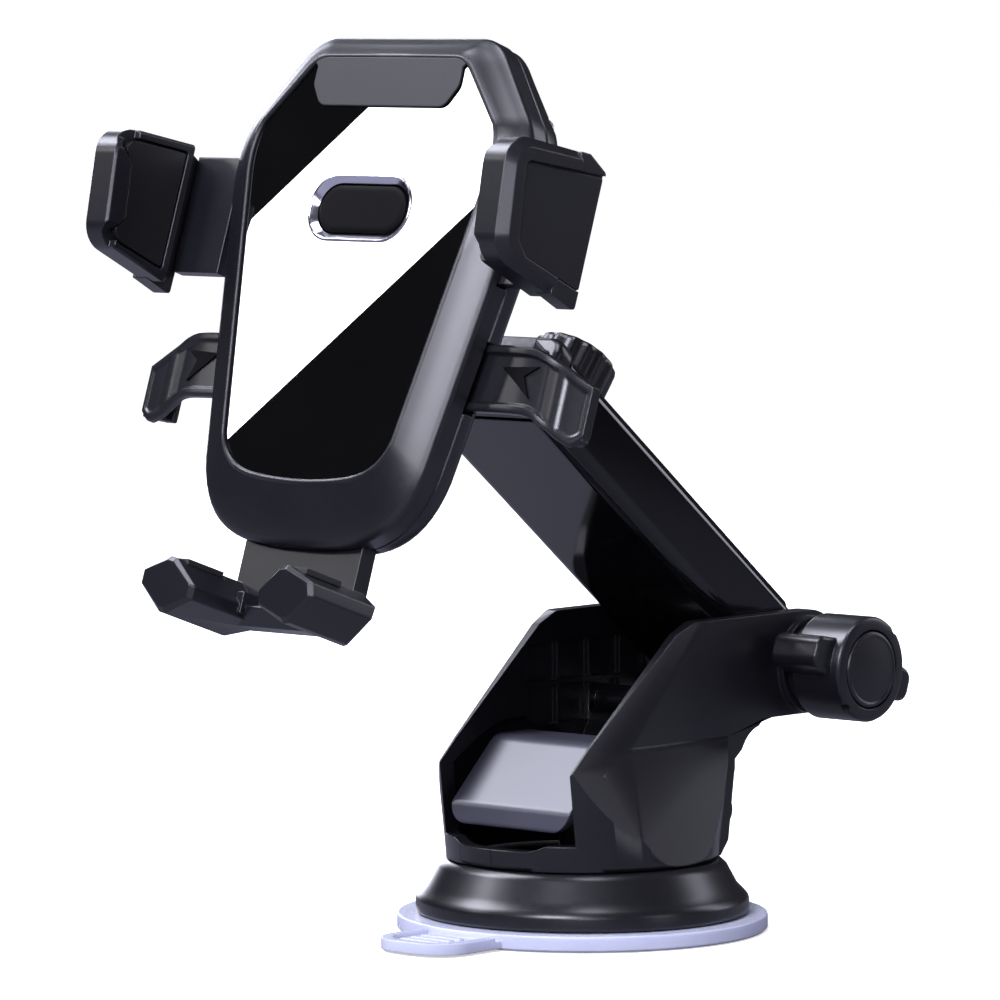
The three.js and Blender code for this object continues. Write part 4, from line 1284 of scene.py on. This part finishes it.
def floor():
    """A pale floor that turns evenly white away from the object and throws little light back."""
    build = bmesh.new()
    size = 4.0
    corners = [(-size, -size), (size, -size), (size, size), (-size, size)]
    build.faces.new([build.verts.new((x, y, -0.0002)) for x, y in corners])
    ground = made(build, "floor")
    tree = Tree("pale_floor")
    shade = tree.span(tree.noise(2.0, 2), 0.86, 0.9)
    colour = tree.add("ShaderNodeCombineColor")
    for channel in ("Red", "Green", "Blue"):
        tree.join(shade, colour.inputs[channel])
    away = tree.add("ShaderNodeVectorMath", operation="LENGTH")
    tree.join(tree.place.outputs["Object"], away.inputs[0])
    glow = tree.span(away.outputs["Value"], 0.55, 1.0, 0.08, 0.35)
    tree.join(colour.outputs["Color"], tree.shader.inputs["Base Color"])
    tree.join(glow, tree.shader.inputs["Emission Strength"])
    tree.shader.inputs["Emission Color"].default_value = (1, 1, 1, 1)
    tree.shader.inputs["Roughness"].default_value = 0.9
    bounced = tree.add("ShaderNodeBsdfDiffuse")
    bounced.inputs["Color"].default_value = (0.18, 0.18, 0.21, 1)
    path = tree.add("ShaderNodeLightPath")
    mix = tree.add("ShaderNodeMixShader")
    tree.join(path.outputs["Is Camera Ray"], mix.inputs["Fac"])
    tree.join(bounced.outputs["BSDF"], mix.inputs[1])
    tree.join(tree.shader.outputs["BSDF"], mix.inputs[2])
    tree.join(mix.outputs["Shader"], tree.nodes["Material Output"].inputs["Surface"])
    ground.data.materials.append(tree.material)


def softbox(name, location, target, width, height, power, colour=(1, 1, 1)):
    lamp = bpy.data.lights.new(name, "AREA")
    lamp.shape = "RECTANGLE"
    lamp.size, lamp.size_y = width, height
    lamp.energy = power
    lamp.color = colour
    box = bpy.data.objects.new(name, lamp)
    box.location = location
    towards = (Vector(target) - Vector(location)).normalized()
    box.rotation_euler = towards.to_track_quat("-Z", "Y").to_matrix().to_4x4().to_euler()
    bpy.context.scene.collection.objects.link(box)
    return box


def face_strip():
    """A long strip lamp placed where the mirror-like face shows it as a slanted white band."""
    facing = -DEPTH
    band = (RIGHT * BAND_SLOPE[0] + HEAD_UP * BAND_SLOPE[1]).normalized()
    middle = HEAD_ORIGIN + (RIGHT * BAND_AT[0] + HEAD_UP * BAND_AT[1]) * MM
    stretch = 1 + STRIP_AWAY / (middle - CAMERA).length
    shown = CAMERA + (middle - CAMERA) * stretch
    place = shown + 2 * (middle - shown).dot(facing) * facing
    width, length = BAND_WIDTH * MM * stretch, 0.13 * stretch
    strip = softbox("face_strip", place, middle, width, length, STRIP_GLOW * width * length)
    across = band.cross(facing)
    strip.rotation_euler = Matrix((across, band, facing)).transposed().to_euler()


def lights():
    """Soft lamps round the object, the face's strip lamp, and a white surround for the camera."""
    tint = (0.86, 0.87, 1.0)
    head = (0.0, -0.08, 0.14)
    base = (0.0, 0.0, 0.03)
    for name, location, target, width, height, power in (
        ("front_right_high", (0.34, -0.98, 0.72), head, 0.45, 0.5, 19.0),
        ("overhead_left", (-0.55, -0.25, 0.85), base, 0.40, 0.55, 12.0),
        ("overhead", (0.05, -0.05, 1.0), base, 0.30, 0.5, 5.0),
        ("above_camera", (1.0, -1.15, 0.45), base, 0.5, 0.25, 5.0),
        ("behind_left", (-1.1, 0.75, 0.35), head, 0.35, 1.1, 9.0),
        ("behind_right", (0.55, 1.1, 0.55), head, 0.35, 0.9, 4.0),
        ("right", (1.25, 0.15, 0.35), base, 0.30, 0.7, 1.5),
    ):
        softbox(name, location, target, width, height, power, tint)
    face_strip()
    world = bpy.data.worlds.new("studio")
    world.use_nodes = True
    nodes, links = world.node_tree.nodes, world.node_tree.links
    nodes["Background"].inputs["Color"].default_value = (0.80, 0.80, 0.90, 1)
    nodes["Background"].inputs["Strength"].default_value = 0.05
    white = nodes.new("ShaderNodeBackground")
    white.inputs["Color"].default_value = (1, 1, 1, 1)
    white.inputs["Strength"].default_value = 1.0
    path = nodes.new("ShaderNodeLightPath")
    mix = nodes.new("ShaderNodeMixShader")
    links.new(path.outputs["Is Camera Ray"], mix.inputs["Fac"])
    links.new(nodes["Background"].outputs["Background"], mix.inputs[1])
    links.new(white.outputs["Background"], mix.inputs[2])
    links.new(mix.outputs["Shader"], nodes["World Output"].inputs["Surface"])
    bpy.context.scene.world = world
    bpy.context.scene.view_settings.view_transform = "Standard"
    bpy.context.scene.view_settings.look = "None"


# ---- The whole scene ---------------------------------------------------------------------------
camera()
lights()
floor()
suction_pad()
base_ring()
housing()
suction_lever()
hinge_knob()
arm()
lock_knob()
ball_joint()
front_bezel()
face()
rear_cover()
jaws()
wings()
foot()
carried_over()
